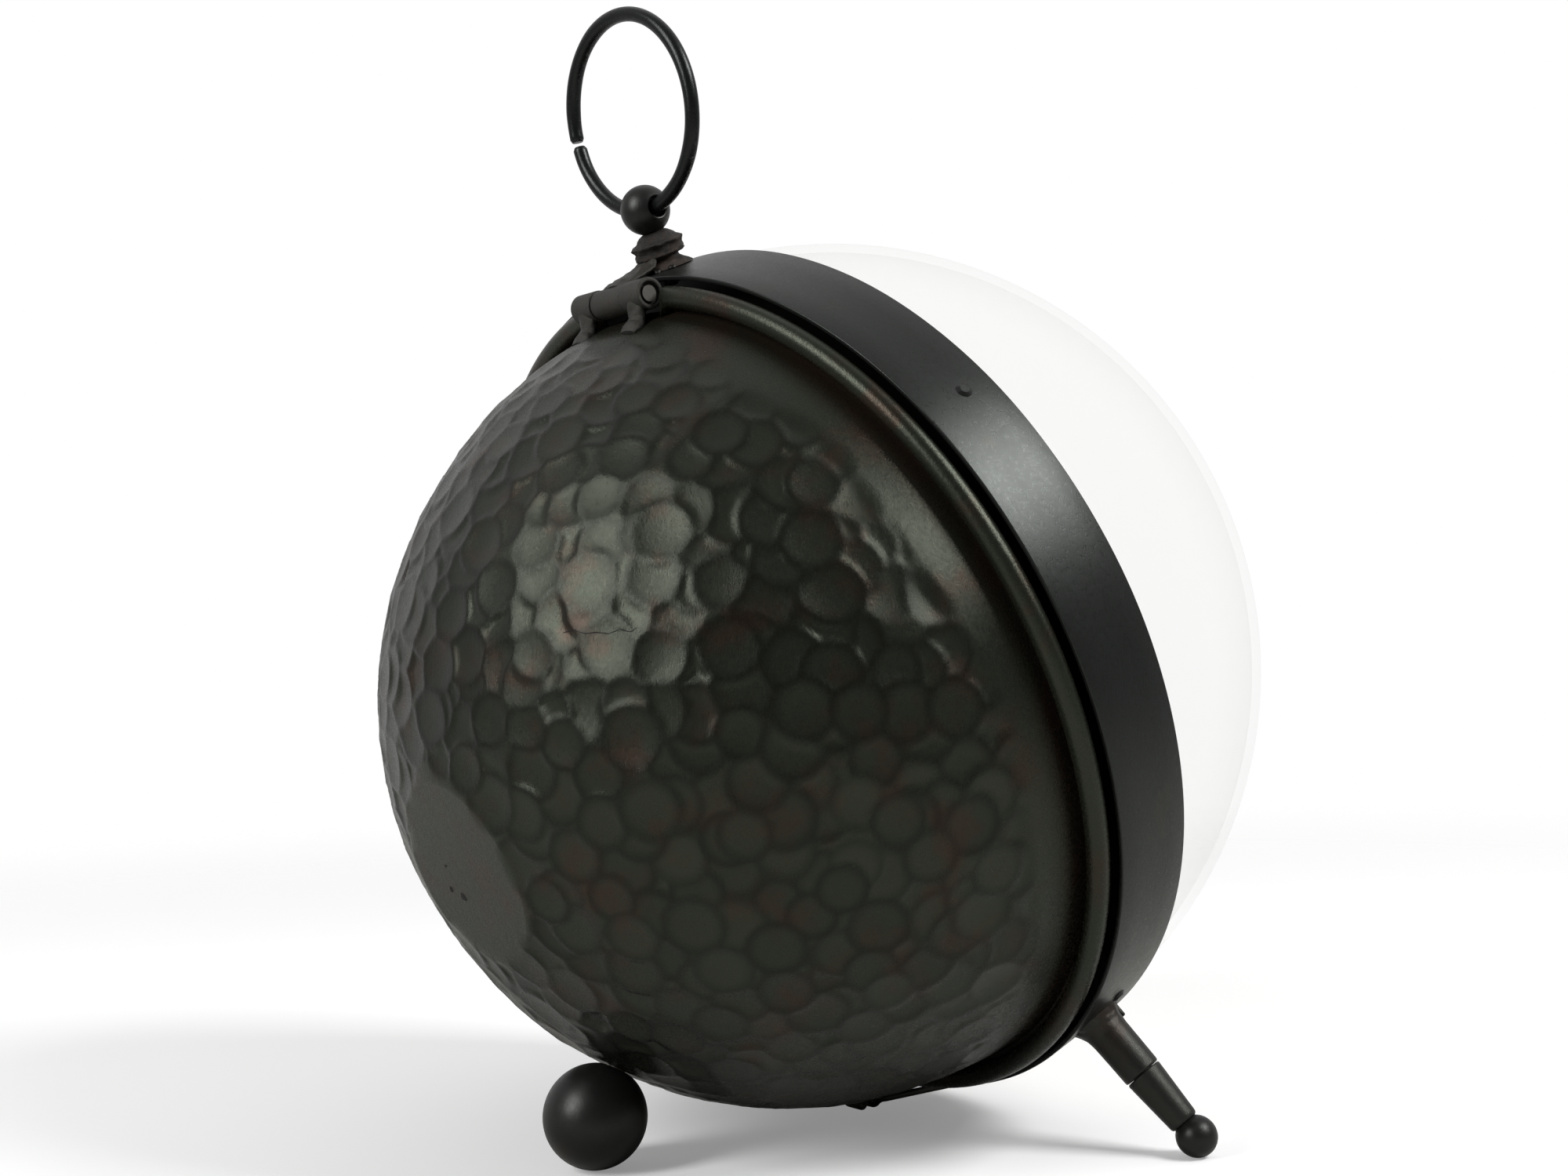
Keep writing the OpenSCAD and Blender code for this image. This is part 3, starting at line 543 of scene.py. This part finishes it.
# ---- Clear dome ----
# A blown glass dome, 3 mm thick, with a ground flange behind the band's lip. It is so clear that
# only its rim and its reflections show.
dome_low, dome_high = extent("glass_dome")
seat, dome_r = dome_low[2], dome_high[2] - dome_low[2]
outside = arc((0, seat), dome_r, 90, 1, 64)
flange = [(dome_high[0], seat + 2.2), (dome_high[0], seat), (dome_r - 3, seat)]
inside = arc((0, seat), dome_r - 3, 1, 90, 64)
# Almost fully clear face on, and a faint grey film towards the outline
glass, tree = new_material("clear glass")
facing = add(tree, "ShaderNodeLayerWeight", Blend=0.25)
film = add(tree, "ShaderNodeMapRange", {"Value": facing.outputs["Facing"]}, From_Min=0.35, From_Max=1.0,
           To_Min=0.035, To_Max=0.12)
clear = add(tree, "ShaderNodeBsdfPrincipled", {"Alpha": film.outputs[0]}, Base_Color=linear("#C8CCC0"),
            Roughness=0.04, IOR=1.5)
add(tree, "ShaderNodeOutputMaterial", {"Surface": clear.outputs[0]})
dome = spun(np.concatenate([outside, flange, inside]), (0, 0, 0), (0, 0, 1), 160)
piece("dome_of_glass", [dome], glass, "case", ("glass_dome",), crease=50)

# ---- Crown: welded collar, ball and split ring ----
# A spool-shaped collar of ragged weld and washers, brown with rust, holds a turned iron ball. The
# bow ring is 5 mm wire, bent round and left unwelded, so that its ends stand slightly apart.
def bent(points, radius, count=7):
    """A path through points whose bends are rounded by quadratic curves."""
    points = np.asarray(points, float)
    t = np.linspace(0, 1, count)[:, None]
    out = [points[:1]]
    for before, corner, after in zip(points, points[1:], points[2:]):
        arms = before - corner, after - corner
        a, b = (corner + unit(v) * min(radius, 0.45 * np.linalg.norm(v)) for v in arms)
        out.append((1 - t) ** 2 * a + 2 * t * (1 - t) * corner + t ** 2 * b)
    return np.concatenate(out + [points[-1:]])


def ball(centre, radius, columns=64):
    """A sphere."""
    return spun(arc((0, 0), radius, -90, 90, columns // 2), centre, (0, 1, 0.0), columns)


ball_low, ball_high = extent("crown_ball")
crown_r = (ball_high[2] - ball_low[2]) / 2
crown = local(joints["bow_swing"]["pos_m"])
# Turned smooth: one small soft highlight, and dark elsewhere
ball_iron = blackened_iron("blackened iron ball", "#2B2C2A", "#372E28", "#4A3E34", (0.28, 0.42), 0.12,
                           brown_from=0.6)
hole_r = 3.6
bore = math.degrees(math.asin(hole_r / crown_r))
outer = arc((0, 0), crown_r - 0.02, 90 - bore - 3, -90 + bore + 3, 44)
through = [(hole_r, -crown_r * 0.86), (hole_r, 0), (hole_r, crown_r * 0.86)]
drilled = np.concatenate([outer, through, outer[:1]])
piece("crown_bead", [spun(drilled, crown, (1, 0, 0), 64)], ball_iron, "case",
      ("crown_ball",), crease=50)

rise = crown[1] - BAND_R
spool = filled([(0, -0.2), (9.6, -0.2), (9.2, 0.8), (8.0, 1.8), (6.6, 2.6), (5.8, 3.2), (5.8, 4.0),
                (7.9, 4.4), (8.6, 5.0), (8.3, 6.0), (8.1, 7.0), (8.4, 7.8), (9.0, 8.4), (9.2, 9.0),
                (8.6, 9.5), (7.0, 10.2), (6.2, 11.2), (5.4, 12.0), (3.4, 13.0), (0, 13.2)], 70)
base = crown - [0, rise, 0]
collar = spun(spool, base, (0, 1, 0), 72)
swing = np.arctan2(collar[..., 2] - base[2], collar[..., 0])
collar[..., 1] += 0.35 * np.sin(swing + 0.6) * smooth_step(2, 4, collar[..., 1] - BAND_R)
ragged = 0.35 * lumps(collar, 3.5, 21) + 0.25 * lumps(collar, 1.6, 22)
collar[..., 0] *= 1 + ragged * 0.07
collar[..., 2] = base[2] + (collar[..., 2] - base[2]) * (1 + ragged * 0.07)
# Dull, pitted and brown, the one rusty place at the top
weld_iron = blackened_iron("rusty weld", "#24211E", "#3A2E26", "#4E3C30", (0.42, 0.66), 0.7, brown_from=0.48,
                           metal=0.3)
piece("crown_spool", [collar], weld_iron, "case", ("crown_collar",), crease=60)

drops = []
for x, s, size in ((-5.5, 3.0, 1.9), (-1.0, 1.6, 2.3), (3.6, 2.2, 2.0), (7.2, 5.6, 1.6), (-8.4, 7.4, 1.5),
                   (0.8, -0.6, 1.7), (-3.4, -1.8, 1.4)):
    middle = np.array([x, math.sqrt(BAND_R ** 2 - x * x) + 0.1, s])
    drop = ball((0, 0, 0), size, 24)
    drop *= 1 + 0.16 * lumps(drop + middle, 3.0, 78)[..., None]
    drops.append(middle + drop * [1.15, 0.55, 1.0])
# Glassy black beads of spatter with small bright glints
weld_black = blackened_iron("black weld drops", "#1C1B19", "#2C241F", "#3A2E26", (0.14, 0.3), 0.3, metal=0.5)
piece("crown_welds", drops, weld_black, "case", crease=60)

RING_R, WIRE_R, RING_POINTS = 32, 2.5, 190
lean, yaw, side_lean = math.radians(11.6), math.radians(3.3), math.radians(2.5)
turned = Matrix.Rotation(lean, 3, "X") @ Matrix.Rotation(side_lean, 3, "Z") @ Matrix.Rotation(yaw, 3, "Y")
turned = np.array(turned)
rad = np.radians(np.linspace(-7.9, 348.9, RING_POINTS))
flat = np.stack([RING_R * np.cos(rad), RING_R + RING_R * np.sin(rad), 0 * rad], 1)
ring = flat @ turned.T + crown
outward = unit(ring - (turned @ [0, RING_R, 0] + crown))
step = np.arange(RING_POINTS)
ring = ring - outward * 0.3 * np.exp(-((step - step[-1]) / 5.0) ** 2)[:, None]
thick = WIRE_R - 0.05 + 0.05 * lumps(ring, 20, 31)
ends = np.minimum(step, step[-1] - step)
thick = np.minimum(thick * np.where(ends == 0, 0.75, 1), WIRE_R)
# Drawn wire, smooth and black, with a thin line of light along it
wire_iron = blackened_iron("blackened wire", "#232524", "#2E2825", "#3E342D", (0.2, 0.34), 0.12,
                           brown_from=0.62)
wire = tube(ring, thick[:, None] * [1, 1], 28, turned @ [0, 0, 1])
piece("bow_wire", [wire], wire_iron, "bow", ("bow_ring",), crease=45)
plain("crown_stud", band_iron)
plain("crown_nut", band_iron)

# ---- Hinge ----
# Three forged knuckles on a 5.3 mm steel pin. The middle one is welded inside the band; each outer
# one runs down into a curved foot that flares where it is brazed to the bowl.
# Matt and slightly brown from the forge, with a fine grain
hinge_iron = blackened_iron("forged blackened iron", "#302F2B", "#3E342D", "#57493C", (0.38, 0.56), 0.45,
                            brown_from=0.52, metal=0.4)
PIN_R, KNUCKLE_R, COUNTERBORE_R, RECESS = 2.65, 5.25, 3.8, 1.8
FOOT_POINTS, WEB_POINTS = 30, 34


def knuckle(start, end, centre, radius, recess=(0, 0)):
    """A short tube with softened ends, from start to end across the case, bored for the pin. A
    recess is the depth of a wider bore at that end, which leaves the pin's end in shadow."""
    corners = [(radius, start), (radius, end)]
    if recess[1]:
        corners += [(COUNTERBORE_R, end), (COUNTERBORE_R, end - recess[1])]
    corners += [(PIN_R + 0.05, end - recess[1]), (PIN_R + 0.05, start + recess[0])]
    if recess[0]:
        corners += [(COUNTERBORE_R, start + recess[0]), (COUNTERBORE_R, start)]
    wall = softened(corners, 0.5)
    made = spun(wall, centre, (1, 0, 0), 48)
    grow = (0.05 * lumps(made, 5, 41) - 0.05)[..., None]
    away = np.linalg.norm((made - centre)[..., 1:], axis=-1)[..., None]
    made[..., 1:] += (made - centre)[..., 1:] * np.where(away > PIN_R + 0.5, grow / away, 0)
    return made


lug_high, barrel_high = (extent(node)[1] for node in ("hinge_lugs", "hinge_barrel"))
axis_at = hinge * [0, 1, 1]
lugs = []
for side in (-1, 1):
    inner_end, outer_end = barrel_high[0] + 0.3, lug_high[0]
    ends = sorted((side * inner_end, side * outer_end))
    lugs.append(knuckle(*ends, axis_at, KNUCKLE_R, (RECESS, 0) if side < 0 else (0, RECESS)))
    middle = side * (inner_end + outer_end) / 2
    # Distance behind the axis, height from it and twice the thickness, from the knuckle to the bowl
    way = filled([(-1.6, 0.6, 4.6), (-2.8, -2.2, 4.5), (-3.6, -4.6, 3.9), (-4.4, -6.6, 3.7),
                  (-5.8, -8.2, 4.0), (-8.0, -9.2, 3.8), (-10.2, -10.0, 2.2)], FOOT_POINTS)
    width = np.interp(np.linspace(0, 6, FOOT_POINTS), [0, 2, 3, 5, 6], [4.6, 4.1, 3.7, 5.0, 4.2])
    path = np.stack([np.full(FOOT_POINTS, middle), axis_at[1] + way[:, 1], axis_at[2] + way[:, 0]], 1)
    foot = tube(path, np.stack([way[:, 2] * 0.62, width], 1), 28, (1, 0, 0))
    foot += (0.12 * lumps(foot, 3, 43))[..., None] * unit(foot - foot.mean(1, keepdims=True) + 1e-9)
    lugs.append(foot)
piece("hinge_feet", lugs, hinge_iron, "back", ("hinge_lugs",), crease=50)
leaf = softened([(-barrel_high[0], 0), (barrel_high[0], 0), (barrel_high[0], barrel_high[2] - axis_at[2]),
                 (-barrel_high[0], barrel_high[2] - axis_at[2])], 0.8)
rows = []
for level, inset in ((-1.5, 0.9), (-1.5, 0.97), (-1.3, 1), (-0.3, 1), (-0.05, 0.97), (-0.05, 0.0)):
    mid = [0, (barrel_high[2] - axis_at[2]) / 2]
    flat = mid + (leaf - mid) * (inset if level != -1.5 or inset != 0.9 else 0.0)
    rise = np.sqrt((BAND_IN + level) ** 2 - flat[:, 0] ** 2)
    rows.append(np.stack([flat[:, 0], rise, axis_at[2] + flat[:, 1]], 1))
# A web of weld runs from the middle knuckle over the band's edge and up to the crown's collar
web = filled([(-12.5, 151.3, 8.2), (-8.5, 152.5, 8.0), (-4.0, 153.0, 7.6), (0.0, 153.6, 7.0),
              (2.8, 154.6, 6.4), (4.4, 156.0, 5.6), (6.0, 157.2, 4.4)], WEB_POINTS)
path = np.stack([np.zeros(WEB_POINTS), web[:, 1], web[:, 0]], 1)
tongue = tube(path, np.stack([np.full(WEB_POINTS, 1.5), web[:, 2]], 1), 32, (1, 0, 0))
tongue += (0.2 * lumps(tongue, 3.5, 44))[..., None] * [0, 1, 0]
middle = knuckle(-barrel_high[0], barrel_high[0], axis_at, KNUCKLE_R - 0.3)
piece("hinge_middle", [middle, np.stack(rows), tongue], hinge_iron, "case",
      ("hinge_barrel",), crease=50)
# Barer and paler than the iron round it
pin_steel = blackened_iron("dull steel pin", "#504E4A", "#463C33", "#62554A", (0.4, 0.55), 0.2, metal=0.8)
plain("hinge_pin", pin_steel)

# ---- Legs ----
# Each leg is a stub welded to the band, with a flare of weld behind it, and a tapered turned
# leg screwed into it that ends in a short neck and a ball.
# Duller than the band and smoother than the hinge: a satin turned face with some brown patches
leg_iron = blackened_iron("turned blackened iron", "#2F2F2C", "#3C332D", "#50433A", (0.3, 0.46), 0.2,
                          brown_from=0.55)
for side, label in ((-1, "left"), (1, "right")):
    low, high = extent("leg_ball_" + label)
    leg_r = (high[2] - low[2]) / 2
    mid = np.array([low[0] + leg_r if side < 0 else high[0] - leg_r, low[1] + leg_r, (low[2] + high[2]) / 2])
    out_way = unit(mid * [1, 1, 0])
    reach = float(mid @ out_way)
    root = np.array([0, 0, mid[2]])
    joint = 22.3
    stub = filled([(0, -1.0), (8.6, -1.0), (8.2, 0.2), (7.6, 1.6), (7.1, 3.4), (6.85, 6.0), (6.8, 9.0),
                   (6.6, joint - 1.2), (6.55, joint - 0.5), (6.2, joint - 0.1), (4.1, joint - 0.1),
                   (4.1, joint - 2), (0, joint - 2)], 80)
    stub = spun(stub, root + out_way * BAND_R, out_way, 64)
    height = (stub - root) @ out_way - BAND_R
    spread = stub - root - (height + BAND_R)[..., None] * out_way
    weld = np.exp(-np.clip(height, 0, None) / 3.0)
    rear = np.clip(-unit(spread + 1e-9)[..., 2], 0, 1)
    grow = weld * (0.05 * lumps(stub, 4, 51 + side) + 0.16 * rear)
    stub += spread * grow[..., None]
    across = np.linalg.norm(spread, axis=-1)
    seat_h = np.sqrt(BAND_R ** 2 - np.clip(across, 0, 12) ** 2 * 0.5) - BAND_R
    stub += np.where(height < 0.5, seat_h, 0)[..., None] * out_way * 0.5
    piece("leg_stub_" + label, [stub], leg_iron, "case", ("leg_socket_" + label,), crease=50)
    # A flat tab at the band's front edge backs the weld
    front = root + out_way * BAND_R + [0, 0, 7.9]
    square = softened([(-1, -1), (1, -1), (1, 1), (-1, 1)], 0.25)
    steps = np.array([-0.2, 0.2, 4.2, 4.6])[:, None] * out_way + front
    tab = tube(steps, [(2.3, 0.45), (2.5, 0.6), (2.5, 0.6), (2.2, 0.4)], 20, (0, 0, 1), square)
    piece("leg_tab_" + label, [tab], leg_iron, "case", crease=40)
    start, neck = joint + 0.2, reach - BAND_R - leg_r
    taper = filled([(0, start - 6), (3.9, start - 6), (3.9, start), (6.1, start), (6.4, start + 0.4),
                    (6.35, start + 1.5), (5.1, neck + 0.4), (4.7, neck + 1.1), (3.9, neck + 1.5),
                    (0, neck + 1.8)], 60)
    taper = spun(taper, root + out_way * BAND_R, out_way, 56)
    piece("leg_taper_" + label, [taper], leg_iron, "case", ("leg_" + label,), crease=40)
    piece("leg_bead_" + label, [ball(mid, leg_r - 0.02, 56)], ball_iron, "case",
          ("leg_ball_" + label,))

# ---- Ball foot ----
# A turned 34 mm iron ball that carries the back of the clock. A stud, washer and nut hold it from
# inside the bowl, and its flat seat meets the hammered sheet.
foot_low, foot_high = (np.array(v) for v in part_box("foot_ball"))
foot_r = (foot_high[0] - foot_low[0]) / 2 / MM
foot_mid = local([0, (foot_low[1] + foot_high[1]) / 2, foot_low[2] + foot_r * MM])
sphere = ball(foot_mid, foot_r - 0.02, 96)
toward = np.linalg.norm(sphere, axis=-1)
sphere *= np.where(toward < BOWL_R, BOWL_R / np.maximum(toward, 1), 1)[..., None]
piece("foot_bead", [sphere], ball_iron, "back", ("foot_ball",))
for node in ("foot_stud", "foot_washer", "foot_nut"):
    plain(node, pin_steel)

# ---- Dial ----
# A sheet iron plate, cream enamel in front and bare blackened iron behind, with Roman numerals, a
# minute track and two hands in black lacquer. Clips press it to the gasket behind the dome.
dial_front = extent("dial_plate")[1][2]
SIGN, SIGN_WIDE, SIGN_AT, TRACK_IN, TRACK_OUT, PAINT = 22.0, 0.82, 104, 130, 136, 0.12
# Warm cream with a faint yellowing in patches; everything that faces back or sideways is black
enamel, tree = new_material("cream enamel")
place = add(tree, "ShaderNodeTexCoord")
haze = add(tree, "ShaderNodeTexNoise", {"Vector": place.outputs["Object"]}, Scale=14.0, Detail=4.0,
           Roughness=0.6)
aged = add(tree, "ShaderNodeMix", {0: haze.outputs["Fac"]}, data_type="RGBA")
aged.inputs[6].default_value, aged.inputs[7].default_value = linear("#EFE7D2"), linear("#DDCFAE")
normal = add(tree, "ShaderNodeNewGeometry")
front = add(tree, "ShaderNodeVectorMath", {0: normal.outputs["Normal"]}, operation="DOT_PRODUCT")
front.inputs[1].default_value = OUT
side = add(tree, "ShaderNodeMapRange", {"Value": front.outputs["Value"]}, From_Min=0.4, From_Max=0.6)
coated = add(tree, "ShaderNodeMix", {0: side.outputs[0], 7: aged.outputs[2]}, data_type="RGBA")
coated.inputs[6].default_value = linear("#161513")
face = add(tree, "ShaderNodeBsdfPrincipled", {"Base Color": coated.outputs[2]}, Roughness=0.32)
add(tree, "ShaderNodeOutputMaterial", {"Surface": face.outputs[0]})
plain("dial_plate", enamel)
# Flat even black that stays darker than the cream in any light
lacquer, tree = new_material("black lacquer")
coat = add(tree, "ShaderNodeBsdfPrincipled", Base_Color=linear("#141414"), Roughness=0.35)
add(tree, "ShaderNodeOutputMaterial", {"Surface": coat.outputs[0]})
for node in ("hour_hand", "minute_hand"):
    plain(node, lacquer)

STROKE = {"I": [((0, 0), (0, 1), 0.16)], "V": [((-0.3, 1), (0, 0), 0.17), ((0.3, 1), (0, 0), 0.07)],
          "X": [((-0.3, 1), (0.3, 0), 0.17), ((0.3, 1), (-0.3, 0), 0.07)]}
WIDE = {"I": 0.32, "V": 0.78, "X": 0.78}
HOURS = ["XII", "I", "II", "III", "IIII", "V", "VI", "VII", "VIII", "IX", "X", "XI"]


def mark(a, b, half, radius, angle, level):
    """A thin painted bar between two points of a dial sign, laid at a radius and an angle."""
    a, b = np.array(a, float), np.array(b, float)
    side = unit([-(b - a)[1], (b - a)[0]]) * half
    outline = np.array([a + side, b + side, b - side, a - side, a + side])
    rows = []
    for height, size in ((0.0, 0), (0.0, 1), (PAINT, 1), (PAINT, 0)):
        flat = outline[:4].mean(0) + (outline - outline[:4].mean(0)) * size
        x, r = flat[:, 0], radius + flat[:, 1]
        rows.append(np.stack([x * math.cos(angle) + r * math.sin(angle),
                              r * math.cos(angle) - x * math.sin(angle),
                              np.full(5, level + height)], 1))
    return np.stack(rows)


signs = []
for hour, letters in enumerate(HOURS):
    width = sum(WIDE[c] for c in letters)
    across = -width / 2
    turn_to = math.radians(30 * hour)
    for c in letters:
        for a, b, thick in STROKE[c]:
            shift = across + WIDE[c] / 2
            a, b = (((x + shift) * SIGN * SIGN_WIDE, y * SIGN) for x, y in (a, b))
            signs.append(mark(a, b, thick * SIGN / 2, SIGN_AT, turn_to, dial_front))
        across += WIDE[c]
    for end in (0, 1):
        half_w = width * SIGN * SIGN_WIDE / 2
        signs.append(mark((-half_w, end * SIGN), (half_w, end * SIGN), 0.35, SIGN_AT, turn_to, dial_front))
for minute in range(60):
    thick = 1.1 if minute % 5 == 0 else 0.35
    signs.append(mark((0, 0), (0, 6), thick, TRACK_IN, math.radians(6 * minute), dial_front))
for radius in (TRACK_IN, TRACK_OUT):
    track = softened([(radius - 0.3, 0), (radius + 0.3, 0), (radius + 0.3, PAINT), (radius - 0.3, PAINT)],
                     0.02, 2)
    signs.append(spun(track, (0, 0, dial_front), (0, 0, 1), 180))
piece("dial_signs", signs, lacquer, "case")

# ---- Works ----
# A standard quartz movement: moulded black case and cover, one round cell, brass bush and shafts.
# Its bush and nut clamp it to the dial plate, and the knob at its back sets the hands.
# Even, slightly soft black with no grain
moulded, tree = new_material("moulded black plastic")
skin = add(tree, "ShaderNodeBsdfPrincipled", Base_Color=linear("#1B1C1E"), Roughness=0.5)
add(tree, "ShaderNodeOutputMaterial", {"Surface": skin.outputs[0]})
for node in ("movement_case", "movement_cover", "set_knob"):
    plain(node, moulded)
# The only yellow metal, seen at the middle of the dial
brass, tree = new_material("turned brass")
metal = add(tree, "ShaderNodeBsdfPrincipled", Base_Color=linear("#C9A45A"), Roughness=0.3, Metallic=1.0)
add(tree, "ShaderNodeOutputMaterial", {"Surface": metal.outputs[0]})
for node in ("shaft_bush", "bush_washer", "bush_nut", "hour_tube", "minute_arbor", "hand_cap"):
    plain(node, brass)
plain("knob_stem", pin_steel)
# A grey half-metal print, paler than the black tray that it lies in
sleeve, tree = new_material("printed cell sleeve")
skin = add(tree, "ShaderNodeBsdfPrincipled", Base_Color=linear("#7C8084"), Roughness=0.35, Metallic=0.5)
add(tree, "ShaderNodeOutputMaterial", {"Surface": skin.outputs[0]})
plain("battery", sleeve)
# Matt black that gives no highlight beside the glass
rubber, tree = new_material("black rubber")
skin = add(tree, "ShaderNodeBsdfPrincipled", Base_Color=linear("#161616"), Roughness=0.8)
add(tree, "ShaderNodeOutputMaterial", {"Surface": skin.outputs[0]})
plain("dome_gasket", rubber)
plain("dial_clips", leg_iron)

# ---- Draw latch ----
# A small lever latch of pressed iron under the case: base and lever on the bowl, wire loop, and a
# keeper on the band.
# Pressed sheet, a little worn, with brown patches
latch_iron = blackened_iron("pressed blackened iron", "#2D2C29", "#3B322B", "#54483C", (0.34, 0.5), 0.3,
                            brown_from=0.5)
plain("latch_base", latch_iron)
plain("latch_keeper", pin_steel)
plain("latch_pin", pin_steel)
lever_at, loop_at = (local(joints[j]["pos_m"]) for j in ("latch_lever_hinge", "latch_loop_hinge"))
lever_half = extent("latch_lever")[1][0]
LATCH_WIRE = 1.25


def roll(centre, half, radius, bore):
    """A short rolled tube across the case, with softened ends and a bore for its pin."""
    wall = softened([(bore, -half), (radius, -half), (radius, half), (bore, half)], 0.35)
    return spun(wall, centre * [0, 1, 1], (1, 0, 0), 32)


tail = loop_at * [0, 1, 1] + 6.0 * unit([0, 0.30, -0.95])
curl = [tail + 1.3 * np.array([0, -1 + math.cos(a), -math.sin(a)]) for a in np.linspace(0.3, 3.9, 14)]
way = np.concatenate([[lever_at * [0, 1, 1] + [0, -0.2, 2.0], lever_at * [0, 1, 1] + [0, -1.7, -0.4],
                       loop_at * [0, 1, 1] + [0, -2.5, 1.2], loop_at * [0, 1, 1] + [0, -2.4, -1.6]], curl])
strap = tube(bent(way, 1.5), np.array([[1.0, lever_half]] * len(bent(way, 1.5))), 20, (1, 0, 0), square)
piece("latch_thumb_lever", [roll(lever_at, lever_half, 3.3, LATCH_WIRE + 0.05),
                            roll(loop_at, lever_half, 3.8, LATCH_WIRE + 0.05), strap], latch_iron, "lever",
      ("latch_lever",), crease=45)
loop_low, loop_high = extent("latch_loop")
bar_s, bar_h, half = loop_high[2] - LATCH_WIRE, loop_low[1] + LATCH_WIRE, loop_high[0] - LATCH_WIRE
pin_h, pin_s = loop_at[1:]
wire = bent([(half * 0.25, pin_h, pin_s), (half, pin_h, pin_s), (half, bar_h, bar_s), (-half, bar_h, bar_s),
             (-half, pin_h, pin_s), (-half * 0.25, pin_h, pin_s)], 1.8)
loop = tube(wire, np.full((len(wire), 2), LATCH_WIRE - 0.02), 20, (0, 1, 0.31))
piece("latch_wire_loop", [loop], latch_iron, "loop", ("latch_loop",), crease=45)
